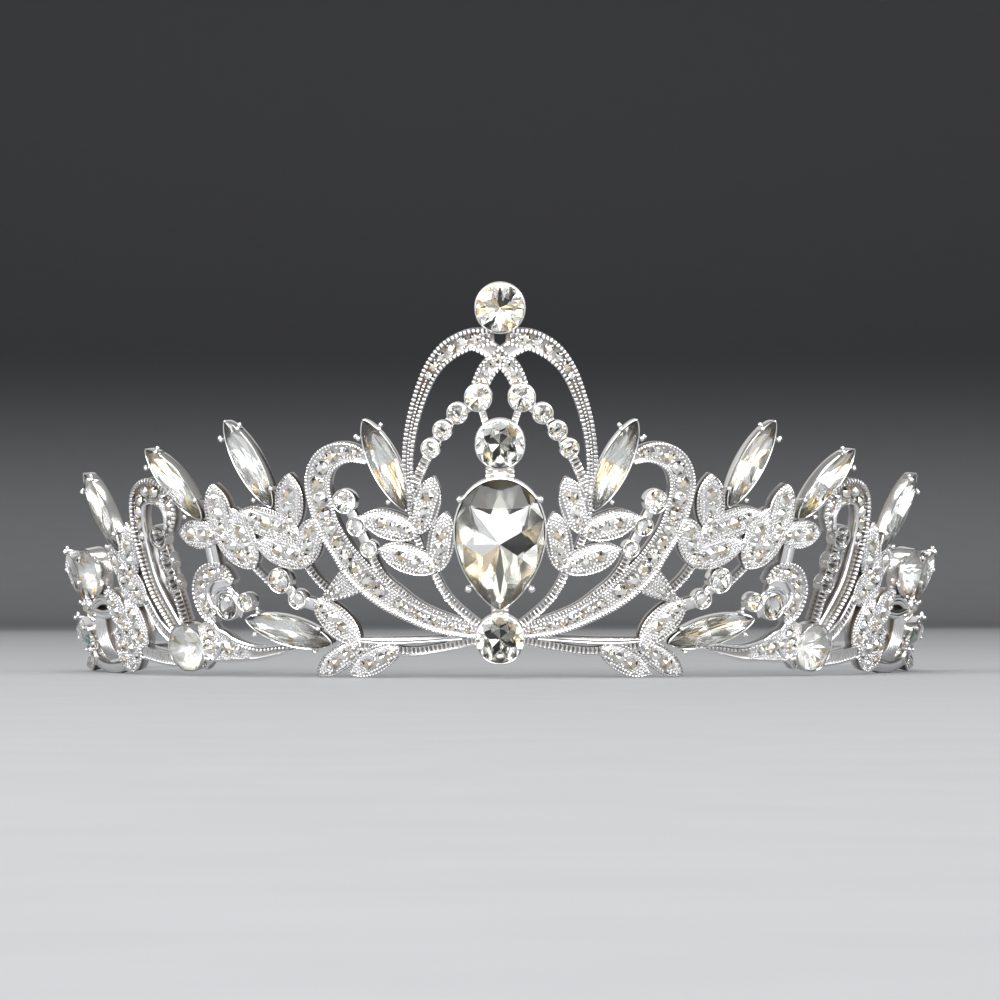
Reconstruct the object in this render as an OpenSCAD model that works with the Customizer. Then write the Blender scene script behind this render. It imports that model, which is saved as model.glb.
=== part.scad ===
// Bridal crown: a pierced, cast band of leaves and scrolls round the front and sides of
// a head, set with cut stones, with two spring wires that close it at the back.
// Millimetres. The origin is the middle of the head opening, on the plane that the crown
// stands on. +Z is up, and the front of the crown faces -Y.
// A place on the band is given by u, the distance from the centre line along its lower
// edge, v, the height up its leaning face, and n, the distance out from its back.
// Tables hold the right half. The left half is its mirror image.

/* [Band] */
// Radius of the band's face at its lower edge, round the front
ring_r = 65; // [62:1:70]
// Radius of its face at the sides, where it curves in
side_r = 53; // [50:1:60]
// Outward lean of the band, in degrees
lean = 11; // [8:1:14]
// Thickness of the cast metal
metal_t = 1.5; // [1.2:0.1:2]
// How far the middle of a leaf stands above its edge
leaf_relief = 0.5; // [0.3:0.1:0.8]

/* [Stones] */
// Diameter of the round stones on the centre line
centre_round_d = 6.3; // [5.5:0.1:6.6]
// Width of the pear-cut stone
pear_w = 12; // [10:0.5:12.5]
// Length of the pear-cut stone
pear_l = 17.6; // [16:0.2:18]
// Length of a marquise-cut stone
marquise_l = 13.2; // [12:0.2:13.6]
// Width of a marquise-cut stone
marquise_w = 3.8; // [3:0.1:4]
// Diameter of the round stones at the sides
side_round_d = 6.4; // [5.5:0.1:6.8]
// Diameter of the small flat-backed stones
pave_d = 1.3; // [0.9:0.1:1.4]

/* [Settings] */
// Wall of a stone's cup
cup_wall = 0.3; // [0.25:0.05:0.4]
// Gap between a stone and its cup
stone_gap = 0.07; // [0.05:0.01:0.1]
// Half the height of a claw's bead
claw_r = 0.55; // [0.4:0.05:0.7]

/* [Headband wires] */
// Diameter of a wire
wire_d = 1.6; // [1.2:0.1:2]
// Radius of the arc that a wire follows
wire_r = 59.5; // [57:0.5:61]
// Height of a wire above the surface that the crown stands on
wire_z = 3.2; // [3.2:0.1:4.5]
// Inside diameter of the loop at a wire's end
loop_d = 4.8; // [3.5:0.1:5]
// Width of the flattened strip that the loop is bent from
strip_w = 1.8; // [1.4:0.1:2.2]
// Thickness of that strip
strip_t = 0.7; // [0.5:0.1:0.8]

/* [Hidden] */

metal = [0.86, 0.86, 0.88];
crystal = [0.93, 0.94, 0.95];
// Height of the zero of v above the surface, so low that the lowest leaves stand on it
base_lift = -0.8;
// Heights out from the band's back: a small stone's seat, a low bar, and the widest line
// of a marquise and of the pear
seat_n = 1.7;
low_n = metal_t * 0.8;
marquise_n = 1.7;
pear_n = 3.0;
// Width of a bar's face over the width of its back
face_share = 0.72;
// Length and width of a leaf's ridge over those of the leaf
ridge_l = 0.7;
ridge_w = 0.56;
// Width and height of the heel that holds a standing marquise
heel_w = 1.6;
heel_h = 0.9;
// How far a cup's rim stands above its stone's widest line
rim_h = 0.12;
// How far a stone's hollow goes on above that line, clear of the metal beside it
clear_h = 1.2;
// Where the front arc of the band meets the side arc
side_u = 50;
// Middle of a wire's arc, and the angles at which it starts and ends
wire_centre_y = -10.5;
wire_start = -9;
wire_end = 28;
// Gap all round a wire in its sleeve, and the sleeve's size and its lowest corner
wire_gap = 0.12;
sleeve = [3.8, 4.6, 3.4];
sleeve_corner = [-1.7, -1.6, -1.7];
// Heights above and below a round stone's widest line, and the width of its table, over its diameter
crown_share = 0.17;
pavilion_share = 0.3;
table_share = 0.58;
// Depths of a marquise and of the pear above and below their widest lines
marquise_crown = 0.85;
marquise_back = 0.95;
pear_crown = 1.3;
pear_back = 2.1;

// The radius that the band follows at u
function radius_at(u) = abs(u) < side_u ? ring_r : side_r;
// How much longer a stretch of u is at height v than along the lower edge
function spread(u, v) = 1 + v * sin(lean) / radius_at(u);
// The direction that the band's face looks in at u, in degrees from the front
function angle_at(u) =
    (min(u, side_u) / ring_r + max(u - side_u, 0) / side_r) * 180 / PI;
function outward(a) = [sin(a), -cos(a)];
// The point of the lower edge at u
function foot(u) =
    (ring_r - radius_at(u)) * outward(angle_at(side_u)) + radius_at(u) * outward(angle_at(u));
// The point at u, v and n
function spot(u, v, n) =
    let (out = v * sin(lean) + (n - metal_t) * cos(lean), level = foot(u) + out * outward(angle_at(u)))
    [level[0], level[1], base_lift + v * cos(lean) - (n - metal_t) * sin(lean)];
// The direction, in the band's face, from one place to another
function heading(u1, v1, u2, v2) = atan2(v2 - v1, (u2 - u1) * spread((u1 + u2) / 2, (v1 + v2) / 2));
// The distance, along the band's face, from one place to another
function reach(u1, v1, u2, v2) = norm([(u2 - u1) * spread((u1 + u2) / 2, (v1 + v2) / 2), v2 - v1]);
// How far out a stone's widest line lies
function girdle_n(d) = 1.15 + 0.2 * d;

// Children are placed at u and v with X along the band, Y up its face and Z out of it
module at(u, v, n = 0, turn = 0)
    translate([foot(u)[0], foot(u)[1], base_lift])
        rotate([0, 0, angle_at(u)])
            translate([0, -v * sin(lean), v * cos(lean)])
                rotate([90 + lean, 0, 0])
                    rotate([0, 0, turn])
                        translate([0, 0, n - metal_t])
                            children();

module both_halves() {
    children();
    mirror([1, 0, 0]) children();
}

// The smallest convex solid round a list of points
module wrap(points)
    hull() polyhedron(points = points, faces = [[for (i = [0:len(points) - 1]) i]]);

// A band of metal along rows of u, v and width, with its back at 0 and a narrower face at top
module band(rows, top = metal_t) {
    last = len(rows) - 1;
    sections = [for (i = [0:last])
        let (
            here = rows[i],
            a = rows[max(i - 1, 0)],
            b = rows[min(i + 1, last)],
            turn = heading(a[0], a[1], b[0], b[1]),
            side = [-sin(turn) / spread(here[0], here[1]), cos(turn)] * here[2] / 2,
            inner = side * face_share)
        [spot(here[0] + side[0], here[1] + side[1], 0),
            spot(here[0] - side[0], here[1] - side[1], 0),
            spot(here[0] - inner[0], here[1] - inner[1], top),
            spot(here[0] + inner[0], here[1] + inner[1], top)]];
    ends = [[0, 3, 2, 1], [for (j = [0:3]) last * 4 + j]];
    walls = [for (i = [0:last - 1], j = [0:3], half = [0, 1])
        let (a = i * 4 + j, b = i * 4 + (j + 1) % 4, c = b + 4, d = a + 4)
        half == 0 ? [a, b, c] : [a, c, d]];
    polyhedron(points = [for (s = sections) each s], faces = concat(ends, walls), convexity = 6);
}

// Outlines, as lists of x and y
function round_outline(count, d, turn = 0) =
    [for (i = [0:count - 1]) let (a = 360 * (i + turn) / count) [cos(a), sin(a)] * d / 2];
function pointed_outline(l, w) =
    [for (p = [[1, 0], [0.55, 0.72], [0, 1], [-0.55, 0.72], [-1, 0], [-0.55, -0.72], [0, -1], [0.55, -0.72]])
        [p[0] * l / 2, p[1] * w / 2]];
function leaf_outline(l, w) =
    [for (p = [[1, 0], [0.35, 0.94], [-0.5, 0.9], [-1, 0], [-0.5, -0.9], [0.35, -0.94]])
        [p[0] * l / 2, p[1] * w / 2]];
// A pear with its point at the bottom; the last factor brings it to its full width
function pear_outline(count, l, w) =
    [for (i = [0:count - 1])
        let (a = 360 * i / count)
        [sin(a) * sqrt(abs(sin(a / 2))) * w / 2 * 1.16, -cos(a) * l / 2]];
// An outline raised to height z, and shrunk by sx and sy
function lift(outline, z, sx = 1, sy = 1) = [for (p = outline) [p[0] * sx, p[1] * sy, z]];
// The width of the cup or seat of a stone of diameter d
function cup_d(d) = d + 2 * stone_gap + 2 * cup_wall;

// A cast leaf from its base to its tip, domed along the middle
module leaf(row) {
    u1 = row[0]; v1 = row[1]; u2 = row[2]; v2 = row[3];
    outline = leaf_outline(reach(u1, v1, u2, v2), row[4]);
    at((u1 + u2) / 2, (v1 + v2) / 2, 0, heading(u1, v1, u2, v2))
        wrap(concat(lift(outline, 0.1), lift(outline, metal_t + leaf_relief, ridge_l, ridge_w)));
}

// A round boss of metal
module boss(u, v, d, top = metal_t, count = 8)
    at(u, v)
        wrap(concat(lift(round_outline(count, d), 0.2), lift(round_outline(count, d * 0.8), top)));

// The outside of the cup of a stone of diameter d
module cup(u, v, d, count = 8) {
    outline = round_outline(count, cup_d(d));
    at(u, v) wrap(concat(lift(outline, 0), lift(outline, girdle_n(d) + rim_h)));
}

// The hollow that its stone sits in
module cup_pocket(u, v, d, count = 8) {
    outline = round_outline(count, d + 2 * stone_gap);
    bottom = girdle_n(d) - pavilion_share * d - stone_gap;
    at(u, v) wrap(concat(lift(outline, bottom), lift(outline, girdle_n(d) + clear_h)));
}

// The solid seat of a small flat-backed stone of diameter d
module seat(u, v, d)
    at(u, v)
        wrap(concat(lift(round_outline(8, d), 0.9), lift(round_outline(8, cup_d(d)), seat_n)));

// A round stone with a table, crown facets and a pointed back
module round_stone(u, v, d, count = 8)
    color(crystal)
        at(u, v, girdle_n(d))
            wrap(concat(lift(round_outline(count, d * table_share, 0.5), crown_share * d),
                lift(round_outline(count, d), 0), [[0, 0, -pavilion_share * d]]));

// A flat-backed stone of diameter d on metal whose face is at height n
module flat_stone(u, v, n, d = pave_d, count = 6) {
    table = lift(round_outline(count, d * 0.6, 0.5), d * 0.32);
    color(crystal)
        at(u, v, n + stone_gap) wrap(concat(lift(round_outline(count, d), 0), table));
}

// Centre line: height and diameter of each round stone
finial_v = 50.9;
crest_v = 32.7;
base_v = 6.2;
pear_v = 19.3;
centre_vs = [finial_v, crest_v, base_v];

// Marquise stones: u and v of the base, u and v of the tip, and the length of the heel
marquise_rows = [
    [11.8, 23.8, 16.7, 36.0, 0],
    [29.9, 24.3, 35.6, 36.4, 2],
    [40.9, 22.8, 49.6, 33.0, 2],
    [58.9, 18.9, 65.0, 29.6, 2],
    [22.6, 5.5, 35.7, 8.9, 0],
    [72.6, 11.6, 84.0, 18.8, 0],
    [74.6, 5.6, 87.0, 7.8, 0]];

// Larger round stones of a half: u, v, diameter and number of sides
round_rows = [
    [46.4, 4.9, side_round_d, 12],
    [67.8, 15.8, side_round_d, 12],
    [2.6, 38.9, 3.3, 8],
    [19.8, 25.0, 2.9, 8],
    [29.8, 14.2, 3.1, 8],
    [49.6, 20.5, 2.9, 8],
    [38.6, 10.6, 3.3, 8]];

// Small round stones of a half: u, v and diameter
chaton_rows = [
    [5.15, 36.8, 2.4],
    [7.0, 34.5, 2.2],
    [8.5, 32.1, 2.2],
    [18.4, 21.6, 2.3],
    [16.9, 18.5, 2.0],
    [27.4, 11.6, 2.3],
    [48.7, 16.9, 2.4],
    [48.0, 13.8, 2.2],
    [35.5, 11.2, 2.2],
    [76.4, 3.2, 2.2]];

// Leaves: u and v of the base, u and v of the tip, and width
leaf_rows = [
    [10.4, 20.6, 17.8, 22.9, 4.0],
    [10.5, 20.6, 8.2, 28.2, 3.9],
    [8.2, 15.4, 6.8, 23.4, 3.7],
    [8.0, 15.8, 15.6, 18.5, 4.1],
    [27.8, 21.0, 27.1, 28.9, 4.3],
    [26.4, 20.6, 35.4, 23.7, 4.1],
    [25.0, 16.8, 33.0, 19.6, 4.2],
    [26.3, 16.2, 24.1, 22.8, 4.1],
    [38.1, 20.2, 38.7, 27.7, 4.5],
    [33.6, 16.1, 36.1, 24.3, 4.1],
    [38.6, 20.4, 45.5, 21.1, 4.0],
    [39.0, 21.2, 33.4, 16.0, 4.0],
    [24.9, 11.4, 18.8, 5.4, 4.1],
    [19.0, 5.5, 25.4, 0.8, 3.4],
    [13.6, 4.9, 20.7, 0.6, 3.6],
    [57.0, 14.0, 56.0, 22.7, 4.3],
    [56.5, 14.0, 62.3, 18.9, 4.1],
    [60.3, 15.4, 54.0, 11.4, 5.2],
    [56.2, 4.6, 59.4, 12.2, 4.6],
    [60.4, 7.4, 65.2, 13.0, 4.8],
    [70.0, 13.6, 75.6, 18.6, 3.2],
    [70.0, 9.2, 77.2, 11.2, 3.4],
    [77.0, 3.2, 85.4, 1.2, 2.8]];

// Bands: u, v and width along each
arch_rows = [[0.7, 47.0, 2.2], [2.0, 46.9, 2.5], [3.9, 46.5, 2.8], [6.2, 45.1, 2.7], [8.1, 42.7, 2.3],
    [9.6, 39.2, 2.0], [10.8, 35, 1.7], [11.4, 30.5, 1.5], [11.3, 26.5, 1.4], [10.8, 22.5, 1.6]];
cross_rows = [[-3.0, 46.3, 2.2], [-1.5, 45.5, 2.3], [0, 44.2, 2.3], [1.4, 42.7, 2.5], [2.2, 41.0, 2.4],
    [2.6, 39.8, 2.2]];
finial_strut_rows = [[1.5, 48.9, 1.2], [1.7, 47.0, 1.2]];
string_rows = [[3.2, 38.0, 1.5], [5.15, 36.7, 1.5], [7.0, 34.4, 1.5], [8.6, 31.6, 1.4], [10.0, 28.7, 1.4],
    [11.1, 25.6, 1.4]];
crest_strut_rows = [[2.4, 37.8, 1.0], [1.5, 34.6, 1.0]];
scroll_rows = [[16.5, 30.8, 1.6], [18.6, 31.6, 2.6], [20.8, 31.3, 3.3], [22.5, 29.9, 3.6],
    [23.3, 27.4, 3.7], [23.0, 24.4, 3.6], [22.2, 21.4, 3.5], [20.6, 18.4, 3.4], [18.6, 15.4, 3.9],
    [15.4, 12.3, 3.6], [11.6, 9.9, 3.1], [7.6, 8.1, 2.7], [2.5, 6.9, 1.8]];
scroll_rib_rows = [[16.8, 18.0, 1.3], [16.0, 16.0, 1.3], [14.8, 14.2, 1.3], [13.0, 12.6, 1.3],
    [10.4, 10.6, 1.2]];
stem_rows = [[8.7, 15.8, 1.2], [7.5, 13.0, 1.2], [5.7, 10.6, 1.2], [2.2, 7.6, 1.2]];
leaf_link_rows = [[10.9, 21.0, 1.1], [9.8, 17.6, 1.1]];
cluster_bar_rows = [[26.2, 17.0, 1.2], [24.2, 14.2, 1.2], [21.6, 11.8, 1.4]];
flare_rows = [[23.8, 11.4, 0.9], [22.4, 12.3, 2.1], [20.9, 13.3, 3.4], [19.2, 14.5, 4.4]];
thin_bar_rows = [[34.2, 16.6, 1.0], [31.0, 13.4, 1.0]];
lower_string_rows = [[29.8, 14.2, 1.5], [27.4, 11.6, 1.6], [24.6, 10.6, 1.8]];
wedge_rows = [[19.6, 6.0, 0.7], [14.0, 5.8, 1.1], [5.0, 6.3, 0.7]];
beaded_rows = [[19.8, 5.2, 1.2], [16.0, 4.8, 1.3], [12.0, 4.4, 1.3], [8.0, 4.9, 1.3], [2.4, 6.0, 1.3]];
tail_rows = [[43.4, 8.2, 4.0], [41.9, 5.4, 4.8], [38.5, 4.5, 3.6], [35.0, 3.9, 2.8], [31.5, 4.6, 1.8],
    [27.0, 5.3, 1.0]];
tail_fan_rows = [[41.6, 6.4, 3.6], [42.8, 4.4, 3.4], [43.8, 2.8, 1.8], [44.2, 1.8, 0.8]];
swirl_coil_rows = [[41.0, 8.7, 1.0], [42.6, 11.4, 1.0], [41.4, 14.2, 1.0], [38.4, 14.4, 0.8]];
swirl_post_rows = [[40.4, 19.6, 2.2], [40.0, 16.0, 2.2]];
loop_rows = [[47.5, 21.4, 1.6], [46.9, 23.6, 2.4], [47.6, 25.8, 3.2], [50.2, 27.0, 3.6], [52.6, 25.9, 3.4],
    [53.4, 22.6, 3.1], [53.0, 17.8, 3.0], [51.7, 13.0, 2.8], [48.2, 7.2, 2.4]];
oval_string_rows = [[49.6, 21.4, 1.6], [48.7, 16.9, 1.6], [47.9, 13.4, 1.6], [46.8, 8.4, 1.7]];
upper_rib_rows = [[54.6, 11.8, 1.7], [52.4, 8.2, 1.7], [49.8, 5.9, 1.7]];
lower_rib_rows = [[58.0, 4.2, 2.0], [53.0, 3.3, 2.0], [48.6, 2.9, 2.0]];
bow_upper_rows = [[63.6, 11.4, 1.5], [67.6, 11.6, 1.6], [71.6, 10.4, 1.5]];
bow_lower_rows = [[64.4, 9.6, 1.3], [67.6, 9.4, 1.4], [71.4, 10.0, 1.3]];
strip_rows = [[61.6, 2.2, 1.7], [67.0, 1.7, 1.8], [72.0, 1.9, 1.8], [78.6, 3.0, 2.0]];
end_post_rows = [[72.6, 13.2, 2.0], [73.4, 9.6, 2.0], [75.6, 6.0, 2.0], [77.6, 2.6, 2.0]];
scroll_string_rows = [[19.6, 24.4, 1.4], [17.8, 20.2, 1.4], [16.6, 17.4, 1.3]];
crest_collar_rows = [[0, 30.4, 4.0], [0, 27.1, 4.0]];
pear_foot_rows = [[0, 11.2, 2.4], [0, 8.2, 2.4]];
// The ribs of the shell scroll: the first one, and how far each next one lies from the one before
shell_rib = [[67.4, 9.2, 2.0], [67.4, 5.9, 2.0], [64.8, 3.2, 1.9], [62.4, 2.4, 1.2]];
shell_step = [[1.9, 0, 0], [1.8, -0.4, 0], [1.4, -0.3, 0], [1.4, -0.1, 0]];
shell_rib_rows = [for (k = [0:2]) shell_rib + k * shell_step];

module half_metal() {
    for (row = leaf_rows) leaf(row);
    band(arch_rows);
    band(cross_rows);
    band(finial_strut_rows);
    band(string_rows, low_n);
    band(crest_strut_rows, low_n);
    band(scroll_rows, metal_t + 0.2);
    band(scroll_rib_rows);
    band(scroll_string_rows, low_n);
    band(stem_rows);
    band(leaf_link_rows, low_n);
    band(cluster_bar_rows);
    band(flare_rows);
    band(thin_bar_rows, low_n);
    band(lower_string_rows, low_n);
    band(wedge_rows, metal_t + 0.1);
    band(beaded_rows);
    band(tail_rows);
    band(tail_fan_rows);
    band(swirl_coil_rows, metal_t + 0.5);
    band(swirl_post_rows);
    band(loop_rows, metal_t + 0.2);
    band(oval_string_rows, low_n);
    band(upper_rib_rows);
    band(lower_rib_rows);
    band(bow_upper_rows, metal_t + 0.4);
    band(bow_lower_rows, metal_t + 0.2);
    band(strip_rows);
    band(end_post_rows, low_n);
    for (rows = shell_rib_rows) band(rows, metal_t + 0.3);
    boss(26.4, 19.6, 3.8);
    boss(40.0, 12.2, 9.4, metal_t + 0.2, 10);
    boss(60.8, 4.6, 7.6, metal_t + 0.5, 10);
    for (row = round_rows) cup(row[0], row[1], row[2], row[3]);
    for (row = chaton_rows) seat(row[0], row[1], row[2]);
    for (row = marquise_rows) boat(row);
    wire_sleeve();
}

// Children are placed on the line of a marquise, with X from its base to its tip
module along(row)
    at((row[0] + row[2]) / 2, (row[1] + row[3]) / 2, 0, heading(row[0], row[1], row[2], row[3]))
        children();

// The outside of the boat of a marquise, with the heel by which it is soldered on
module boat(row) {
    outline = pointed_outline(marquise_l + 4 * cup_wall, cup_d(marquise_w));
    heel = [row[4] + marquise_w / 2, heel_w, heel_h];
    along(row) {
        wrap(concat(lift(outline, 0, 0.96, 0.9), lift(outline, marquise_n + rim_h)));
        if (row[4] > 0)
            translate([-marquise_l / 2 - row[4], -heel_w / 2, 0.2]) cube(heel);
    }
}

// The hollow that a marquise sits in
module boat_pocket(row) {
    outline = pointed_outline(marquise_l + 2 * stone_gap, marquise_w + 2 * stone_gap);
    bottom = marquise_n - marquise_back - 0.1;
    along(row) wrap(concat(lift(outline, bottom), lift(outline, marquise_n + clear_h)));
}

// The ball at the end of a claw
module claw_bead()
    wrap(claw_r * [[1, 0, 0], [-1, 0, 0], [0, 1, 0], [0, -1, 0], [0, 0, 1], [0, 0, -2]]);

// The sleeve on the band's back that grips the wire
module wire_sleeve()
    translate([0, wire_centre_y, wire_z])
        rotate([0, 0, wire_start])
            translate([wire_r, 0, 0] + sleeve_corner) cube(sleeve);

// Children are swept along the wire's arc, from angle start over an angle of turn
module wire_arc(start, turn)
    translate([0, wire_centre_y, wire_z])
        rotate([0, 0, start])
            rotate_extrude(angle = turn, $fn = 90)
                translate([wire_r, 0])
                    children();

// The cup of the pear-cut stone, with its four claws
module pear_cup()
    at(0, pear_v) {
        wrap(concat(lift(pear_outline(14, pear_l + 0.4, pear_w + 0.4), 0),
            lift(pear_outline(14, pear_l + 1, pear_w + 1), pear_n + rim_h)));
        for (side = [-1, 1]) {
            translate([side * pear_w * 0.43, pear_l * 0.35, pear_n]) claw_bead();
            translate([side * pear_w * 0.34, -pear_l * 0.34, pear_n]) claw_bead();
        }
    }

// The hollow that it sits in
module pear_pocket() {
    outline = pear_outline(14, pear_l + 2 * stone_gap, pear_w + 2 * stone_gap);
    bottom = lift(outline, 0.5, 0.6, 0.5);
    at(0, pear_v) wrap(concat(bottom, lift(outline, pear_n - 0.1), lift(outline, pear_n + clear_h)));
}

// The hollows of a half, each cut out of whatever metal lies there
module half_pockets() {
    for (row = round_rows) cup_pocket(row[0], row[1], row[2], row[3]);
    for (row = marquise_rows) boat_pocket(row);
    wire_arc(wire_start - 2, 8) circle(d = wire_d + 2 * wire_gap, $fn = 16);
}

module centre_metal() {
    for (v = centre_vs) cup(0, v, centre_round_d, 12);
    pear_cup();
    band(crest_collar_rows, metal_t + 0.4);
    band(pear_foot_rows);
}

module frame()
    color(metal)
        difference() {
            union() {
                both_halves() half_metal();
                centre_metal();
            }
            both_halves() half_pockets();
            for (v = centre_vs) cup_pocket(0, v, centre_round_d, 12);
            pear_pocket();
        }

module pear_stone()
    color(crystal)
        at(0, pear_v, pear_n)
            wrap(concat(lift(pear_outline(14, pear_l, pear_w), pear_crown, 0.6, 0.6),
                lift(pear_outline(14, pear_l, pear_w), 0),
                lift(pear_outline(7, pear_l, pear_w), -pear_back, 0.3, 0.4)));

module marquise_stone(row) {
    outline = pointed_outline(marquise_l, marquise_w);
    table = lift(outline, marquise_n + marquise_crown, 0.66, 0.46);
    keel = [for (side = [-1, 1]) [side * marquise_l * 0.22, 0, marquise_n - marquise_back]];
    color(crystal)
        along(row) wrap(concat(table, lift(outline, marquise_n), keel));
}

module small_chatons() {
    for (row = chaton_rows) flat_stone(row[0], row[1], seat_n, row[2], 8);
}

// The wire of the right half, with the loop for a hair pin at its end
module half_wire()
    color(metal) {
        wire_arc(wire_start, wire_end - wire_start) circle(d = wire_d, $fn = 24);
        translate([0, wire_centre_y, wire_z])
            rotate([0, 0, wire_end])
                translate([wire_r, 0, 0])
                    pin_loop();
    }

// A ring of flat strip, with its hole along the radius of the wire's arc
module pin_loop() {
    ring_out = loop_d / 2 + strip_t;
    translate([0, ring_out - 0.2, 0])
        rotate([0, 90, 0])
            difference() {
                cylinder(r = ring_out, h = strip_w, center = true, $fn = 48);
                cylinder(d = loop_d, h = strip_w + 1, center = true, $fn = 48);
            }
}

// Flat-backed stones: u, v and the height of the metal under them
leaf_top = metal_t + leaf_relief;
function leaf_stones(row, shares) =
    [for (s = shares) [row[0] + (row[2] - row[0]) * s, row[1] + (row[3] - row[1]) * s, leaf_top]];
pave_leaf_shares = [0.38, 0.62];
pave_arch_places = [[2.3, 46.6], [4.6, 46.2], [1.5, 42.6]];

module pave_half() {
    for (row = leaf_rows, s = leaf_stones(row, pave_leaf_shares)) flat_stone(s[0], s[1], s[2]);
}

module pave_middle() {
    both_halves()
        for (place = pave_arch_places) flat_stone(place[0], place[1], metal_t);
}

frame();
half_wire();  // wire_right
mirror([1, 0, 0]) half_wire();  // wire_left
pear_stone();
round_stone(0, finial_v, centre_round_d, 12);  // finial_stone
round_stone(0, crest_v, centre_round_d, 12);  // crest_stone
round_stone(0, base_v, centre_round_d, 12);  // base_stone
pave_middle();  // pave_centre
pave_half();  // pave_right
mirror([1, 0, 0]) pave_half();  // pave_left
small_chatons();  // small_chatons_right
mirror([1, 0, 0]) small_chatons();  // small_chatons_left
for (i = [1:7]) {
    long_row = marquise_rows[i - 1];
    marquise_stone(long_row);
    mirror([1, 0, 0]) marquise_stone(long_row);
    row = round_rows[i - 1];
    round_stone(row[0], row[1], row[2], row[3]);
    mirror([1, 0, 0]) round_stone(row[0], row[1], row[2], row[3]);
}
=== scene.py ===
# %% [markdown]
# # A bridal crown, dressed
# The crown is a pierced band of cast metal, plated bright, with cut stones in cups. The frame
# that is loaded here holds its plain solids. Each one gets a finer piece in its place: rows of
# tiny beads along every edge, small stones set close together, and large stones with real
# facets. The plain solids stay hidden underneath and keep the size.

# %% Load the frame
import bpy
import numpy as np
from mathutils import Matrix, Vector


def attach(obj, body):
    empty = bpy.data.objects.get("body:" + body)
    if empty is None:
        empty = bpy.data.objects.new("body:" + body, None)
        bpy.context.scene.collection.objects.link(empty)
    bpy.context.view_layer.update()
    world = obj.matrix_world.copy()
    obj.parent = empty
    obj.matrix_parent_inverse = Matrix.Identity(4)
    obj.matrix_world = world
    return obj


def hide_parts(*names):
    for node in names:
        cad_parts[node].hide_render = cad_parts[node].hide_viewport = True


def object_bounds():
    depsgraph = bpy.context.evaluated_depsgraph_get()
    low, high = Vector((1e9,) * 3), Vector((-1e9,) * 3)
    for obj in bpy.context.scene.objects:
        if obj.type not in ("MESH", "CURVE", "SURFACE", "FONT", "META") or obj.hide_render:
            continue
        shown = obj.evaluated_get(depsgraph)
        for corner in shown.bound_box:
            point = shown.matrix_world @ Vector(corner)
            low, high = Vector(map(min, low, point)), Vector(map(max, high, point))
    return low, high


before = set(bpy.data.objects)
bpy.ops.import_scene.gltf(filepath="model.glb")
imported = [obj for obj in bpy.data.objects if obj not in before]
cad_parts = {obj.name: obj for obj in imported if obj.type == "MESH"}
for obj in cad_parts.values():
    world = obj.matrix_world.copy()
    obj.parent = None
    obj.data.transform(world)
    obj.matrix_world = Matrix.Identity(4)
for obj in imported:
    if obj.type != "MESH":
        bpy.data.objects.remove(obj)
cad_lo, cad_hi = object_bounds()
print("nodes:", len(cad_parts), "box in mm:", [round(c * 1000, 1) for c in (*cad_lo, *cad_hi)])

# %% [markdown]
# ## Where things lie on the band
# A jeweller draws such a band flat and then bends it round. The same is done here. A place has
# u, the distance from the centre line along the lower edge, v, the height up the leaning face,
# and n, the distance out from the band's back. One function bends that flat drawing round the
# head, so that every leaf and scroll can be drawn flat. All lengths are millimetres until the
# mesh is made.

# %% Bend the flat drawing round the head
MM = 0.001
FRONT_R = 65.0
SIDE_R = 53.0
SIDE_U = 50.0
LEAN = np.radians(11)
METAL_T = 1.5
BASE_LIFT = -0.8


def spread(u, v):
    """Length of a step of u at height v, over its length along the lower edge."""
    return 1 + v * np.sin(LEAN) / np.where(np.abs(u) < SIDE_U, FRONT_R, SIDE_R)


def angle_at(u):
    """Angle round the head at u: the front arc first, and past it the tighter side arc."""
    return np.minimum(u, SIDE_U) / FRONT_R + np.maximum(u - SIDE_U, 0) / SIDE_R


def placed(u, v, n):
    """The point at u, v and n: out along the radius by the lean, up by the rest of v."""
    u, v, n = np.broadcast_arrays(np.asarray(u, float), v, n)
    radius = np.where(np.abs(u) < SIDE_U, FRONT_R, SIDE_R)
    turn, join = angle_at(u), SIDE_U / FRONT_R
    out = radius + v * np.sin(LEAN) + (n - METAL_T) * np.cos(LEAN)
    x = (FRONT_R - radius) * np.sin(join) + out * np.sin(turn)
    y = -(FRONT_R - radius) * np.cos(join) - out * np.cos(turn)
    z = BASE_LIFT + v * np.cos(LEAN) - (n - METAL_T) * np.sin(LEAN)
    return np.stack([x, y, z], -1)


def seats(u, v, n, turn=0.0):
    """Origins and axes (along the band, up its face, out of it) of seats, turned in the face."""
    u, v, n, turn = np.broadcast_arrays(*[np.atleast_1d(np.asarray(q, float)) for q in (u, v, n, turn)])
    a, zero = angle_at(u), np.zeros_like(u)
    along = np.stack([np.cos(a), np.sin(a), zero], -1)
    up = np.stack([np.sin(a) * np.sin(LEAN), -np.cos(a) * np.sin(LEAN), zero + np.cos(LEAN)], -1)
    out = np.stack([np.sin(a) * np.cos(LEAN), -np.cos(a) * np.cos(LEAN), zero - np.sin(LEAN)], -1)
    c, s = np.cos(turn)[:, None], np.sin(turn)[:, None]
    return placed(u, v, n), np.stack([along * c + up * s, up * c - along * s, out], -1)


def flat_length(line):
    """Running length of a line of u and v, measured on the face."""
    d = np.diff(line[:, :2], axis=0)
    mid = (line[1:, :2] + line[:-1, :2]) / 2
    return np.concatenate([[0], np.cumsum(np.hypot(d[:, 0] * spread(mid[:, 0], mid[:, 1]), d[:, 1]))])


def headings(line):
    """Direction of a line of u and v at each of its points, on the face."""
    d = np.gradient(line[:, :2], axis=0)
    return np.arctan2(d[:, 1], d[:, 0] * spread(line[:, 0], line[:, 1]))


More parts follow.
